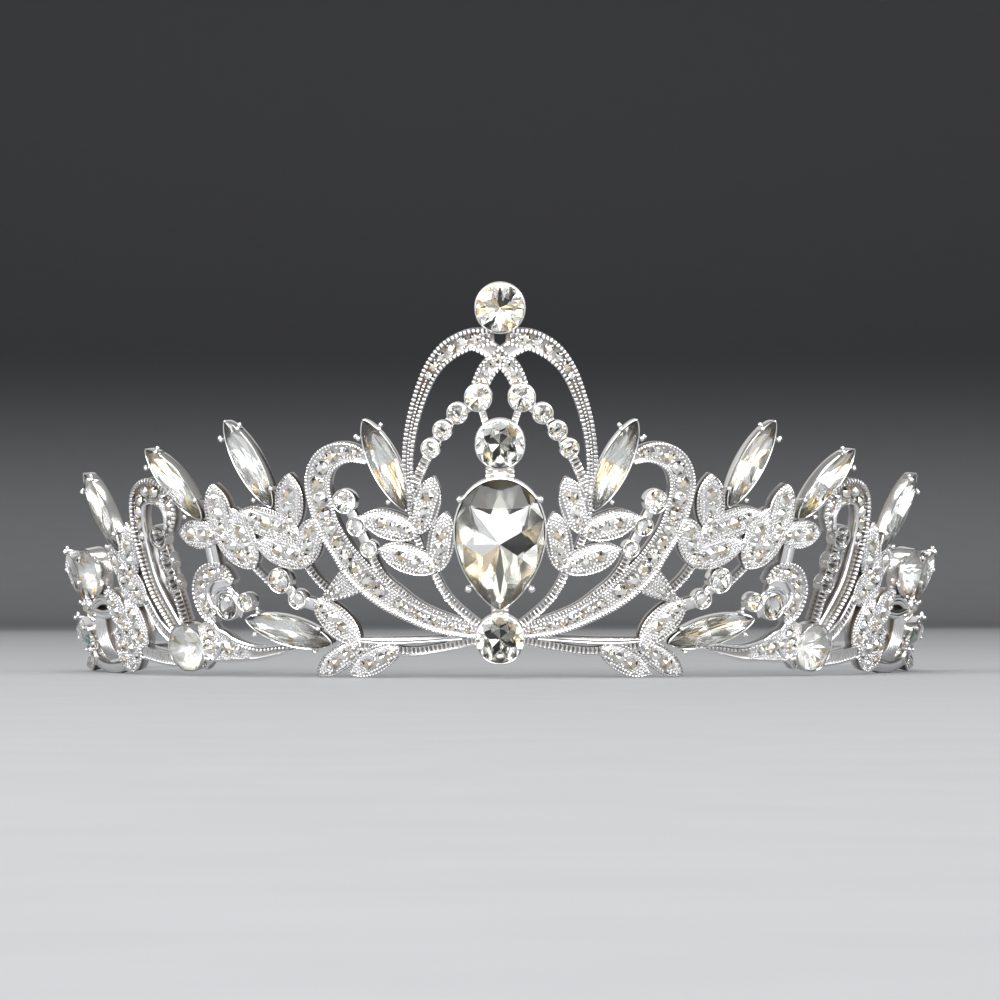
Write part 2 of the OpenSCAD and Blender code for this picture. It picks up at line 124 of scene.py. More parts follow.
def sideways(u, v, turn, shift):
    """The place at a distance shift to the left of u and v, where a line heads at angle turn."""
    return u - np.sin(turn) * shift / spread(u, v), v + np.cos(turn) * shift


print("top of the drawing:", placed(0, 53.5, 2.5).round(2), "cast top:", round(cad_hi.z * 1000, 2))

# %% [markdown]
# ## Forms
# A form is a set of points, blocks of faces and two numbers that the finishes read: how deep a
# point lies in a valley of the metal, and the shade of a stone's facet. Everything is made from
# three things: a grid of quads, copies of a small form, and a mirror for the other half. The
# mirror turns each face round, because a mirrored surface would otherwise show its inside.

# %% Build forms from grids
class Form:
    """Points in mm, blocks of faces, depth in a valley for each point, shade and finish for each face."""

    def __init__(self, points, blocks, valley=0.0, shade=0.0, finish=0):
        self.points = np.asarray(points, float).reshape(-1, 3)
        self.blocks = [np.asarray(b) for b in blocks if len(b)]
        count = sum(len(b) for b in self.blocks)
        self.valley = np.zeros(len(self.points)) + np.ravel(valley)
        self.shade = np.zeros(count) + np.ravel(shade)
        self.finish = np.zeros(count, int) + np.ravel(finish)

    def moved(self, points, blocks=None):
        """The same form at other points, with other blocks of faces where they are given."""
        return Form(points, blocks or self.blocks, self.valley, self.shade, self.finish)


def join(forms):
    """One form out of many, each block of faces counted on from the points before it."""
    start = np.cumsum([0] + [len(f.points) for f in forms])
    blocks = [b + s for f, s in zip(forms, start) for b in f.blocks]
    return Form(np.concatenate([f.points for f in forms]), blocks,
                *[np.concatenate([getattr(f, q) for f in forms]) for q in ("valley", "shade", "finish")])


def volume(form):
    """Signed volume: a sixth of the triple product over each face's fan of triangles."""
    total = 0.0
    for block in form.blocks:
        p = form.points[block]
        for k in range(1, block.shape[1] - 1):
            total += np.einsum("ij,ij->", p[:, 0], np.cross(p[:, k], p[:, k + 1])) / 6
    return total


def facing_out(form):
    """The same form with its faces turned outwards."""
    if volume(form) < 0:
        form.blocks = [b[:, ::-1] for b in form.blocks]
    return form


def mirrored(form):
    """The form on the other side of the centre line, with its faces turned round."""
    return form.moved(form.points * [-1, 1, 1], [b[:, ::-1] for b in form.blocks])


def copies(form, seat, size=1):
    """Copies of a form at many seats, each point scaled by size and turned by the seat's axes."""
    origin, axes = seat
    many = len(origin)
    size = np.broadcast_to(np.asarray(size, float).reshape(-1, 1, 1), (many, 1, 1))
    points = origin[:, None] + np.einsum("mij,mkj->mki", axes, form.points[None] * size)
    step = np.arange(many)[:, None, None] * len(form.points)
    ends = np.cumsum([0] + [len(b) for b in form.blocks])
    shade, finish = [np.concatenate([np.tile(q[a:b], many) for a, b in zip(ends, ends[1:])])
                     for q in (form.shade, form.finish)]
    return Form(points, [(b + step).reshape(-1, b.shape[1]) for b in form.blocks],
                np.tile(form.valley, many), shade, finish)


def grid_quads(rows, cols, ring=True, loop=False):
    """Quads of a grid of rows by cols points, joined round its columns and, in a loop, its rows."""
    i = np.arange(rows if loop else rows - 1)[:, None]
    j = np.arange(cols if ring else cols - 1)[None]
    i2, j2 = (i + 1) % rows, (j + 1) % cols
    return np.stack([i * cols + j, i * cols + j2, i2 * cols + j2, i2 * cols + j], -1).reshape(-1, 4)


def end_caps(rows, cols):
    """The two polygons that close the first and last ring of a tube."""
    return np.stack([np.arange(cols)[::-1], (rows - 1) * cols + np.arange(cols)])

# %% [markdown]
# ## Bars, strands and beads
# The whole band is drawn with three strokes. A bar is a flat-backed strip whose top can be
# domed, hollowed or ribbed. A strand is a round wire. A row of beads is a strand whose radius
# swells and narrows, which is how a milgrain wheel leaves a soft edge. A Bezier curve with a
# bevel could carry the first two, but here the top needs its own height at every point, so the
# surface is worked out on a grid.

# %% Draw a smooth line
# The usual step along a line, and the cuts between two of its rows before that.
LINE_STEP, CUTS = 0.3, 24


def smooth_rows(rows, step=LINE_STEP):
    """A curve through rows of u, v and width (Catmull-Rom), cut into equal steps on the face."""
    rows = np.asarray(rows, float)
    p = np.vstack([2 * rows[0] - rows[1], rows, 2 * rows[-1] - rows[-2]])
    t = np.linspace(0, len(rows) - 1, CUTS * (len(rows) - 1) + 1)
    k = np.minimum(t.astype(int), len(rows) - 2)
    f = (t - k)[:, None]
    a, b, c, d = p[k], p[k + 1], p[k + 2], p[k + 3]
    curve = b + ((c - a) * f + (2 * a - 5 * b + 4 * c - d) * f**2 + (3 * b - a - 3 * c + d) * f**3) / 2
    length = flat_length(curve)
    s = np.linspace(0, length[-1], max(int(round(length[-1] / step)), 2) + 1)
    return np.column_stack([np.interp(s, length, column) for column in curve.T]), s

# %% Carry a bar along it
# Height of the back, height of its rounded edge, and its share of the width.
BACK, BACK_ROUND, BACK_SHARE = 0.15, 0.08, 0.84
# How far the sides end below the top, and the top's share of the width.
EDGE_DROP, TOP_SHARE = 0.28, 0.94
# Depth below the crest at which the film of tarnish and painted shade is full, and its amount on the lowest rows at
# each side, by the back.
FILM_AND_SHADE_DEPTH, BACK_FILM_AND_SHADE = 0.35, 0.3


def bar(rows, height, step=LINE_STEP, across=7, film_and_shade=0.0):
    """A bar along rows of u, v and width. Its top has height(s, c) at s along it and c across.

    The valley number, the share of tarnish and painted shade, grows as the surface drops below the crest, and is never
    less than the least share that is given.
    """
    line, s = smooth_rows(rows, step)
    c = np.linspace(-TOP_SHARE, TOP_SHARE, across)
    top = height(s[:, None], c[None]) + np.zeros((len(s), across))
    side = np.minimum(top[:, [0, -1]] - EDGE_DROP, METAL_T).clip(BACK + 0.1)
    low = np.full((len(s), 1), BACK)
    n = np.hstack([low, low + BACK_ROUND, side[:, :1], top, side[:, 1:], low + BACK_ROUND, low])
    shift = np.concatenate([[-BACK_SHARE, -1, -1], c, [1, 1, BACK_SHARE]])
    u, v = sideways(line[:, :1], line[:, 1:2], headings(line)[:, None], line[:, 2:3] / 2 * shift)
    # Painted shade: the lower the surface lies under the crest, the darker, and a floor between stones and grains is
    # darkened at least by the given share.
    valley = np.clip((top.max() - n) / FILM_AND_SHADE_DEPTH, film_and_shade, 1)
    valley[:, :2] = valley[:, -2:] = BACK_FILM_AND_SHADE
    return facing_out(Form(placed(u, v, n), [grid_quads(*n.shape), end_caps(*n.shape)], valley))


def flat_top(top, rise=0.0):
    """A top that rises in the middle of the bar, as one less the square of c."""
    return lambda s, c: top + rise * (1 - c**2)


def hollow_top(top, depth=0.3):
    """A floor sunk between two raised edges, flat in the middle, as one less a high power of c."""
    return lambda s, c: top - depth * (1 - np.abs(c) ** 6)


def ribbed_bar(rows, top=METAL_T, pitch=0.56, depth=0.3, step=0.09):
    """A bar with ribs across it: a cosine of s, which fades out at the edges."""
    def height(s, c):
        return top - depth * (0.5 + 0.5 * np.cos(2 * np.pi * s / pitch)) * (1 - np.abs(c) ** 4)

    return bar(rows, height, step)


def lined_bar(rows, top, rise, groove):
    """A polished bar: a dome with one fine groove along its middle."""
    return bar(rows, lambda s, c: top + rise * (1 - c**2) - groove * np.exp(-((c / 0.16) ** 2)), across=11)

# %% Carry a strand or a row of beads along it
# Rings for each bead, points round a ring, and the power with which a bead narrows to its neck.
BEAD_STATIONS, BEAD_SIDES, SWELL = 6, 7, 2.4


def strand(line, n, radius, closed=False, pitch=0.6, neck=0.6):
    """A round wire on a line of u, v. Its radius is that of a ball at each bead, less at each neck."""
    whole = np.vstack([line, line[:1]]) if closed else line
    length = flat_length(whole)
    count = max(int(round(length[-1] / pitch)), 2) * BEAD_STATIONS
    s = np.linspace(0, length[-1], count + 1)[:count if closed else None]
    place = np.column_stack([np.interp(s, length, column) for column in whole.T])
    turn = headings(np.vstack([place[-1:], place, place[:1]]))[1:-1] if closed else headings(place)
    dip = neck * np.abs(np.arange(len(s)) / BEAD_STATIONS % 1 * 2 - 1) ** SWELL
    r = (radius * (1 - dip))[:, None]
    ring = np.linspace(0, 2 * np.pi, BEAD_SIDES, endpoint=False)
    u, v = sideways(place[:, :1], place[:, 1:], turn[:, None], r * np.cos(ring))
    blocks = [grid_quads(len(s), BEAD_SIDES, loop=closed)] + ([] if closed else [end_caps(len(s), BEAD_SIDES)])
    # Painted shade: the valley number is full at each neck, so the gaps between beads are darkened.
    valley = np.repeat(dip[:, None] / max(neck, 1e-6), BEAD_SIDES, 1)
    return facing_out(Form(placed(u, v, n + r * np.sin(ring)), blocks, valley))


def beads(rows, side, inset, n, radius, start=0, **shape):
    """A strand inset from one edge of a bar, from step start on. Side is 1 for its left edge, -1 for its right."""
    line, _ = smooth_rows(rows)
    u, v = sideways(line[:, 0], line[:, 1], headings(line), side * (line[:, 2] / 2 - inset))
    return strand(np.column_stack([u, v])[start:], n, radius, **shape)


def rims(rows, inset, n, radius, **shape):
    """A strand along each edge of a bar, the left one first."""
    return [beads(rows, side, inset, n, radius, **shape) for side in (1, -1)]


def fan(sides, start, pole):
    """Triangles from a ring of points, counted from start, to one pole."""
    k = np.arange(sides)
    return np.stack([start + k, start + (k + 1) % sides, np.full(sides, pole)], -1)


def half_ball(sides=6):
    """A small low ball of radius 1, cut off just below its middle."""
    ring = np.linspace(0, 2 * np.pi, sides, endpoint=False)
    rings = [np.column_stack([r * np.cos(ring), r * np.sin(ring), ring * 0 + z])
             for r, z in ((1.0, -0.35), (0.98, 0.15), (0.6, 0.8))]
    blocks = [grid_quads(3, sides), fan(sides, 2 * sides, 3 * sides), np.arange(sides)[::-1][None]]
    return facing_out(Form(np.vstack(rings + [[0, 0, 1]]), blocks))


def pressed(w, power):
    """A sine or cosine pressed away from 0 by a power below 1, which squares a circle."""
    return np.sign(w) * np.abs(w) ** power


def globe(rings, sides, power=1.0):
    """Rings of points on a ball of radius 1, or on a box with round edges where the power is small."""
    lat = np.linspace(-np.pi / 2, np.pi / 2, rings + 2)[1:-1, None]
    lon = np.linspace(0, 2 * np.pi, sides, endpoint=False)
    wide, high, x, y = [pressed(w, power) for w in (np.cos(lat), np.sin(lat), np.cos(lon), np.sin(lon))]
    return np.stack([wide * x, wide * y, high + 0 * x], -1).reshape(-1, 3)


def ball(sides=10, rings=7):
    """A whole ball of radius 1: rings of points between two poles."""
    count = rings * sides
    caps = np.vstack([fan(sides, 0, count)[:, [1, 0, 2]], fan(sides, count - sides, count + 1)])
    return facing_out(Form(np.vstack([globe(rings, sides), [0, 0, -1], [0, 0, 1]]), [grid_quads(rings, sides), caps]))


def tipped(seat, most):
    """Seats whose axes each lean by a small random angle of up to most, in radians."""
    origin, axes = seat
    lean = rng.uniform(-most, most, (len(origin), 2))
    out = axes[:, :, 2] + axes[:, :, 0] * lean[:, :1] + axes[:, :, 1] * lean[:, 1:]
    out /= np.linalg.norm(out, axis=1)[:, None]
    along = axes[:, :, 0] - out * (axes[:, :, 0] * out).sum(1)[:, None]
    along /= np.linalg.norm(along, axis=1)[:, None]
    return origin, np.stack([along, np.cross(out, along), out], -1)


rng = np.random.default_rng(seed=7)
GRAIN = half_ball()
BALL = ball()
print("faces of a grain bead:", sum(len(b) for b in GRAIN.blocks))

# %% [markdown]
# ## Stones
# A cut stone is a few rings of corners: the table, the star facets, the girdle and one or two
# rings at the back. Flat faces between them are all that it needs, so it is written out as
# rings and joined by index, with no bevel or subdivision that would soften it. Such stones are
# glass with foil on the back. The front faces are glass here and the back faces are mirror: light
# goes in, turns round on the foil and comes out again. Each back facet draws a shade from a mix.
# The finish turns that number into a colour later: silver, a painted tan, grey or dark reflection,
# or a painted glint.

# %% Cut a stone
# Shades of the foil facets: clear is silver; tan, grey and dark are painted reflections, and orange, cyan and yellow
# painted glints of split light.
SHADE_STEP = 0.125
CLEAR, TAN, GREY_REFLECTION, DARK, ORANGE, CYAN, YELLOW = [0.06 + SHADE_STEP * k for k in range(7)]
ROUND_MIX = (0.66, 0.18, 0.12, 0.04)
WHITE_MIX = (0.9, 0.1, 0.0, 0.0)
LONG_MIX = (0.74, 0.18, 0.08, 0.0)
PEAR_MIX = (0.66, 0.18, 0.13, 0.03)
PAVE_MIX = (0.58, 0.22, 0.13, 0.07)


def foil_shades(count, mix):
    """A shade drawn for each facet: mix gives the shares of clear, tan, grey and dark ones, the last three painted
    reflections.
    """
    return rng.choice([CLEAR, TAN, GREY_REFLECTION, DARK], size=count, p=mix)


def round_girdle(a):
    """A circle of radius 1."""
    return np.cos(a), np.sin(a)


def pear_girdle(a):
    """A drop with its point down: the width grows with the square root of the height angle's half."""
    return np.sin(a) * np.sqrt(np.abs(np.sin(a / 2))) * 1.16, -np.cos(a)


def boat_girdle(a):
    """A boat pointed at both ends: an ellipse whose width is drawn in by a power of the sine."""
    return np.cos(a), np.sin(a) * np.abs(np.sin(a)) ** 0.4


def cut_stone(girdle, fold, size, table, crown, back, star=0.8, low=(0.3,), twist=0.0, mix=ROUND_MIX):
    """A stone with its widest line at height 0: table, star, kite and girdle facets, and a pointed back.

    size, table, crown and back are half width and length, the table's share, and the heights.
    The star corners lie in the plane of the kites, whose height falls evenly from table to girdle.
    The back bulges: its depth at a share w of the width is back times one less w to the power 1.3.
    """
    step = 2 * np.pi / fold
    k = np.arange(fold)

    def ring(angle, share, z):
        x, y = girdle(angle + twist * step)
        return np.column_stack([x * size[0] * share, y * size[1] * share, np.full(len(angle), z)])

    star_z = crown * (1 - star * np.cos(step / 2)) / (1 - table)
    rings = [ring(k * step, table, crown), ring((k + 0.5) * step, star, star_z),
             ring(np.arange(2 * fold) * step / 2, 1, 0)]
    rings += [ring((k + 0.5 - 0.5 * i) * step, w, -back * (1 - w**1.3)) for i, w in enumerate(low)]
    points = np.vstack(rings + [[[0, 0, -back]]])
    t, m, g, p, tip = k, fold + k, 2 * fold + 2 * k, 4 * fold + k, np.full(fold, len(points) - 1)
    t2, m0, g1, p0 = (k + 1) % fold, fold + (k - 1) % fold, g + 1, 4 * fold + (k - 1) % fold
    g2 = 2 * fold + (2 * k + 2) % (2 * fold)
    front = [k[None]] + [np.stack(f, -1) for f in ((t, m, t2), (m, g, g1), (m, g1, g2), (t, m0, g, m))]
    back_faces = [np.stack(f, -1) for f in ((p, g1, g), (p, g2, g1))]
    if len(low) == 1:
        back_faces.append(np.stack([tip, p, g, p0], -1))
    else:
        q, q2 = 5 * fold + k, 5 * fold + (k + 1) % fold
        back_faces += [np.stack([q, p, g, p0], -1), np.stack([tip, q2, p, q], -1)]
    counts = [sum(len(b) for b in part) for part in (front, back_faces)]
    finish = np.repeat([0, 1], counts)
    shade = np.where(finish == 1, foil_shades(len(finish), mix), CLEAR)
    return facing_out(Form(points, front + back_faces, 0, shade, finish))


SMALL_TABLE, SMALL_HEIGHT, SMALL_FOOT = 0.45, 0.23, 0.8


def small_cut(fold):
    """A small stone 1 wide: a table, triangles that lean out from it to the girdle, and a closed back."""
    k = np.arange(fold)
    a = 2 * np.pi * k / fold
    rings = [np.column_stack([w / 2 * np.cos(a + t), w / 2 * np.sin(a + t), np.full(fold, z)])
             for w, t, z in ((SMALL_TABLE, np.pi / fold, SMALL_HEIGHT), (1, 0, 0), (SMALL_FOOT, 0, -0.2))]
    k1, r, r1 = (k + 1) % fold, fold + k, fold + (k + 1) % fold
    blocks = [k[None], np.stack([k, r, r1], -1), np.stack([r1, k1, k], -1),
              np.stack([r, r + fold, r1 + fold, r1], -1), (2 * fold + k[::-1])[None]]
    return facing_out(Form(np.vstack(rings), blocks, 0, foil_shades(sum(len(b) for b in blocks), PAVE_MIX)))


trial = cut_stone(round_girdle, 8, (1, 1), 0.58, 0.34, 0.76)
print("facets of a round stone:", sum(len(b) for b in trial.blocks), "volume", round(float(volume(trial)), 2))

# %% [markdown]
# ## Finishes
# Bright plating is a metal with low roughness. In its valleys it turns to a warm grey: partly a
# film of tarnish that polishing never reaches, partly painted shade where hollows and the gaps
# between beads lie in shadow. A node group turns the valley number and some noise into a colour
# and a roughness, and every metal uses it with its own values.

# %% Helpers for nodes
def feed(tree, node, inputs):
    """Gives each input of a node its value, or links a socket to it."""
    for name, value in inputs.items():
        if isinstance(value, bpy.types.NodeSocket):
            tree.links.new(value, node.inputs[name])
        else:
            node.inputs[name].default_value = value


def add_node(tree, kind, inputs=None, **settings):
    """A node with its settings and inputs. It hands back its output sockets."""
    node = tree.nodes.new(kind)
    for name, value in settings.items():
        setattr(node, name, value)
    feed(tree, node, inputs or {})
    return node.outputs


def node_group(name, inputs, outputs):
    """An empty group whose inputs have values, with its two ends."""
    group = bpy.data.node_groups.new(name, "ShaderNodeTree")
    for socket, value in inputs.items():
        kind = "NodeSocketFloat" if np.isscalar(value) else "NodeSocketColor"
        group.interface.new_socket(socket, in_out="INPUT", socket_type=kind).default_value = value
    for socket, kind in outputs.items():
        group.interface.new_socket(socket, in_out="OUTPUT", socket_type=kind)
    return group, add_node(group, "NodeGroupInput"), group.nodes.new("NodeGroupOutput")


def new_material(name):
    """A material with its node tree and its one shader."""
    material = bpy.data.materials.new(name)
    material.use_nodes = True
    return material, material.node_tree, material.node_tree.nodes["Principled BSDF"]

# %% A node group for plated metal
def plating_group():
    """Colour, roughness and fine height of plated metal from its valley attribute and two noises; the valleys' film is
    tarnish and painted shade.
    """
    group, given, result = node_group(
        "plating", {"Bright": (0.86, 0.86, 0.87, 1), "Film and shade": (0.42, 0.36, 0.29, 1), "Shade and film amount": 0.6,
                    "Gloss": 0.16, "Grain size": 900.0},
        {"Color": "NodeSocketColor", "Roughness": "NodeSocketFloat", "Height": "NodeSocketFloat"})

    def math(operation, *values, clamp=False):
        return add_node(group, "ShaderNodeMath", dict(enumerate(values)), operation=operation, use_clamp=clamp)[0]

    where = add_node(group, "ShaderNodeTexCoord")["Object"]
    valley = add_node(group, "ShaderNodeAttribute", attribute_name="valley")["Fac"]
    fine = add_node(group, "ShaderNodeTexNoise", {"Vector": where, "Scale": given["Grain size"]})["Fac"]
    broad = add_node(group, "ShaderNodeTexNoise", {"Vector": where, "Scale": 90})["Fac"]
    patchy = math("MULTIPLY_ADD", broad, 1.2, 0.3)
    # Film in the valleys: a warm tarnish, and painted shade where the metal lies in shadow.
    amount = math("MULTIPLY", math("MULTIPLY", valley, patchy), given["Shade and film amount"], clamp=True)
    colour = add_node(group, "ShaderNodeMix", data_type="RGBA",
                      inputs={"Factor": amount, "A": given["Bright"], "B": given["Film and shade"]})["Result"]
    rough = math("MULTIPLY_ADD", fine, 0.08, math("MULTIPLY_ADD", amount, 0.3, given["Gloss"]))
    feed(group, result, {"Color": colour, "Roughness": rough, "Height": fine})
    return group


PLATING = plating_group()


def metal(name, bright, film_and_shade, amount, gloss, bump=0.05):
    """A plated metal with its own brightness, gloss, and film in the valleys, which is tarnish and painted shade."""
    material, tree, shader = new_material(name)
    plated = add_node(tree, "ShaderNodeGroup", node_tree=PLATING,
                      inputs={"Bright": (*bright, 1), "Film and shade": (*film_and_shade, 1), "Shade and film amount": amount, "Gloss": gloss})
    relief = add_node(tree, "ShaderNodeBump", {"Strength": bump, "Distance": 0.0001, "Height": plated["Height"]})
    feed(tree, shader, {"Metallic": 1, "Base Color": plated["Color"], "Roughness": plated["Roughness"],
                        "Normal": relief["Normal"]})
    return material


# Valley colours: a warm tarnish with painted shade; the cast metal's nearly black film is mostly painted shade and
# dark reflection in its crevices.
WARM_FILM_AND_SHADE = (0.13, 0.105, 0.08)
CAST = metal("bright_casting", (0.93, 0.93, 0.935), WARM_FILM_AND_SHADE, 1.1, 0.12)
CUP = metal("bright_cup", (0.92, 0.915, 0.9), (0.55, 0.46, 0.33), 0.6, 0.1)
WIRE = metal("spring_wire", (0.62, 0.62, 0.63), (0.25, 0.24, 0.23), 0.4, 0.24, 0.12)
SLEEVE = metal("pressed_sleeve", (0.93, 0.93, 0.93), WARM_FILM_AND_SHADE, 0.3, 0.2)

# %% [markdown]
# The stones need two finishes. The front is clear glass, with a trace of haze that noise
# spreads unevenly. The back is foil. Its facets differ in colour, and the colours are painted
# light: most are silver, some tan, a few grey or nearly black, which are painted reflections, and
# single ones orange, blue-green or yellow, painted glints of the colours that the glass splits off.

# %% Glass and foil
def haze_group():
    """Roughness of handled glass: a noise between a low and a high value."""
    group, given, result = node_group("haze", {"Low": 0.0, "High": 0.04, "Patch size": 240.0},
                                      {"Roughness": "NodeSocketFloat"})
    where = add_node(group, "ShaderNodeTexCoord")["Object"]
    noise = add_node(group, "ShaderNodeTexNoise", {"Vector": where, "Scale": given["Patch size"]})["Fac"]
    rough = add_node(group, "ShaderNodeMapRange", {"Value": noise, "To Min": given["Low"], "To Max": given["High"]})
    feed(group, result, {"Roughness": rough["Result"]})
    return group


HAZE = haze_group()


def haze(tree, high, low=0.0):
    """The roughness that the haze group gives between two values."""
    return add_node(tree, "ShaderNodeGroup", {"Low": low, "High": high}, node_tree=HAZE)["Roughness"]


CRYSTAL, glass_tree, glass_shader = new_material("crystal_front")
feed(glass_tree, glass_shader, {"Base Color": (0.985, 0.99, 0.985, 1), "IOR": 1.58, "Transmission Weight": 1,
                                "Roughness": haze(glass_tree, 0.04)})
# Colours of the shades in turn: silver, then painted tan, grey and dark reflections, then painted orange, cyan and
# yellow glints.
SHADE_COLOURS = ((0.95, 0.955, 0.94), (0.78, 0.66, 0.48), (0.46, 0.46, 0.41), (0.05, 0.05, 0.045),
                 (1.0, 0.42, 0.08), (0.25, 0.85, 0.9), (0.98, 0.86, 0.3))


def foil(name, soft, coat=0.0):
    """Foil whose colour follows the facet's shade, a painted reflection or glint; soft is its highest roughness, coat
    its clear coat's weight.
    """
    material, tree, shader = new_material(name)
    ramp = tree.nodes.new("ShaderNodeValToRGB")
    feed(tree, ramp, {"Fac": add_node(tree, "ShaderNodeAttribute", attribute_name="shade")["Fac"]})
    ramp.color_ramp.interpolation = "CONSTANT"
    points = ramp.color_ramp.elements
    while len(points) < len(SHADE_COLOURS):
        points.new(0.5)
    for k, colour in enumerate(SHADE_COLOURS):
        points[k].position, points[k].color = k * SHADE_STEP, (*colour, 1)
    feed(tree, shader, {"Metallic": 1, "Coat Weight": coat, "Base Color": ramp.outputs["Color"],
                        "Roughness": haze(tree, soft, soft * 0.4)})
    return material


STONE = (CRYSTAL, foil("crystal_foil", 0.2))
LONG_STONE = (CRYSTAL, foil("long_stone_foil", 0.3))
PEAR_STONE = (CRYSTAL, foil("pear_foil", 0.3))
PEARLY_STONE = (CRYSTAL, foil("pearly_foil", 0.45))
# The small stones are faceted foil under a clear coat, with the same painted reflections.
SMALL = (foil("small_crystal_facets", 0.22, 1.0),)

# %% [markdown]
# ## Making the objects
# Each family of metal becomes one object for each half, so that the outliner reads like a
# parts list. Its points are put in place and its object stays at the origin.

# %% Make a piece
triangles = {}
SMOOTH_UNDER = np.radians(35)


def add_object(name, data):
    """A new object of the scene that shows some data."""
    thing = bpy.data.objects.new(name, data)
    bpy.context.scene.collection.objects.link(thing)
    return thing


def piece(name, forms, finishes, nodes, smooth=True):
    """One object from forms. It takes the place of the named nodes and rides on the crown."""
    form = join(forms)
    mesh = bpy.data.meshes.new(name)
    mesh.from_pydata((form.points * MM).tolist(), [], [f for b in form.blocks for f in b.tolist()])
    for finish in finishes:
        mesh.materials.append(finish)
    mesh.polygons.foreach_set("material_index", form.finish.astype(np.int32))
    mesh.attributes.new("valley", "FLOAT", "POINT").data.foreach_set("value", form.valley.astype(np.float32))
    mesh.attributes.new("shade", "FLOAT", "FACE").data.foreach_set("value", form.shade.astype(np.float32))
    if smooth:
        mesh.shade_smooth()
        mesh.set_sharp_from_angle(angle=SMOOTH_UNDER)
    mesh.update()
    thing = add_object(name, mesh)
    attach(thing, "root")
    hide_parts(*nodes)
    triangles[name] = sum(len(b) * (b.shape[1] - 2) for b in form.blocks)
    print(f"{name}: {triangles[name]} triangles")


SIDES = ("right", "left")


def on_side(form, side):
    """The form itself on the right, its mirror image on the left."""
    return form if side == "right" else mirrored(form)


def crystal(name, forms, node, finishes=STONE):
    """A piece of cut stones, whose facets stay flat."""
    piece(name, forms, finishes, [node], smooth=False)


def both_sides(name, forms, finish=CAST, node="frame"):
    """The right half of some metal, and the left half as its mirror image. In node, {} is the side."""
    for side in SIDES:
        piece(f"{name}_{side}", [on_side(form, side) for form in forms], (finish,), [node.format(side)])

# %% [markdown]
# ## Small stones in a row
# The leaves and scrolls are pavé: small stones side by side, and all over the metal between them
# tiny grains in staggered rows. Six cuts of stone are copied in turn, and each is tipped a
# little, so that a row glitters unevenly. A particle system could scatter the grains too, but
# none may touch a stone, so their seats are one array that is thinned by its distances.

# %% Set small stones
pave_right, pave_middle = [], []
PAVE_STONES = [small_cut(fold) for fold in (7, 8, 6, 8, 7, 8)]
# A stone's largest tilt, its height over the metal, and the step that finds its place.
PAVE_TILT, PAVE_LIFT, PAVE_STEP = 0.14, 0.06, 0.1
# A grain's radius, its distance to the next, the rows' share of that, and the gap round a stone.
GRAIN_R, GRAIN_PITCH, ROW_SHARE, GRAIN_GAP = 0.22, 0.46, 0.87, 0.1


def set_stones(u, v, n, turn, d, store):
    """Stones of diameter d at their seats, in the six cuts taken in turn, kept in store."""
    for k, stone in enumerate(PAVE_STONES):
        pick = slice(k, None, len(PAVE_STONES))
        if len(u[pick]):
            seat = seats(u[pick], v[pick], (n + PAVE_LIFT + 0 * u)[pick], turn[pick])
            store.append(copies(stone, tipped(seat, PAVE_TILT), d[pick]))


def set_grains(u, v, n, turn):
    """Grains at their seats, each a little smaller or larger than the next."""
    return copies(GRAIN, seats(u, v, n, turn), GRAIN_R * rng.uniform(0.85, 1.15, len(u)))


def on_line(line, s, at):
    """The place and the heading at some running lengths of a line."""
    return [np.interp(at, s, q) for q in (line[:, 0], line[:, 1], np.unwrap(headings(line)))]


def field(line, s, height, bare, span, where, d):
    """Seats for grains in staggered rows all over a bar, where no stone and no edge is near."""
    rows = np.arange(-8, 9) * GRAIN_PITCH * ROW_SHARE
    along, across = np.meshgrid(np.arange(0.2, s[-1], GRAIN_PITCH), rows, indexing="ij")
    along[:, 1::2] += GRAIN_PITCH / 2
    half = np.interp(along, s, line[:, 2]) / 2
    gap = np.hypot(along[..., None] - where, across[..., None]) - d / 2
    keep = (np.abs(across) < half - bare) & (gap.min(-1) > GRAIN_GAP) & (along > span[0]) & (along < span[1])
    a, y = along[keep], across[keep]
    u, v, turn = on_line(line, s, a)
    return *sideways(u, v, turn, y), height(a, y / half[keep]) + 0 * a, turn


def pave_row(rows, height, share, gap=0.16, start=0.0, stop=1.0, store=pave_right, most=2.0, bare=0.42, sink=0.0):
    """Stones down the middle of a bar, each as wide as share of the bar, and grains over the rest of it."""
    line, s = smooth_rows(rows, PAVE_STEP)
    places, at = [], s[-1] * start
    while True:
        d = min(np.interp(at, s, line[:, 2]) * share, most)
        at += d / 2
        if at + d / 2 > s[-1] * stop:
            break
        places.append((at, d))
        at += d / 2 + gap
    where, d = np.array(places).T
    u, v, turn = on_line(line, s, where)
    set_stones(u, v, height(where, 0 * where) - sink, turn, d, store)
    span = (s[-1] * start - 0.5, s[-1] * stop + 0.3)
    return [set_grains(*field(line, s, height, bare, span, where, d))]

# %% [markdown]
# ## The arch over the pear
# Its top is a pavé ribbon. On the way down it narrows to two rows of beads with a dark groove
# between them, and the outer row is the bolder one, so that beads show against the background.

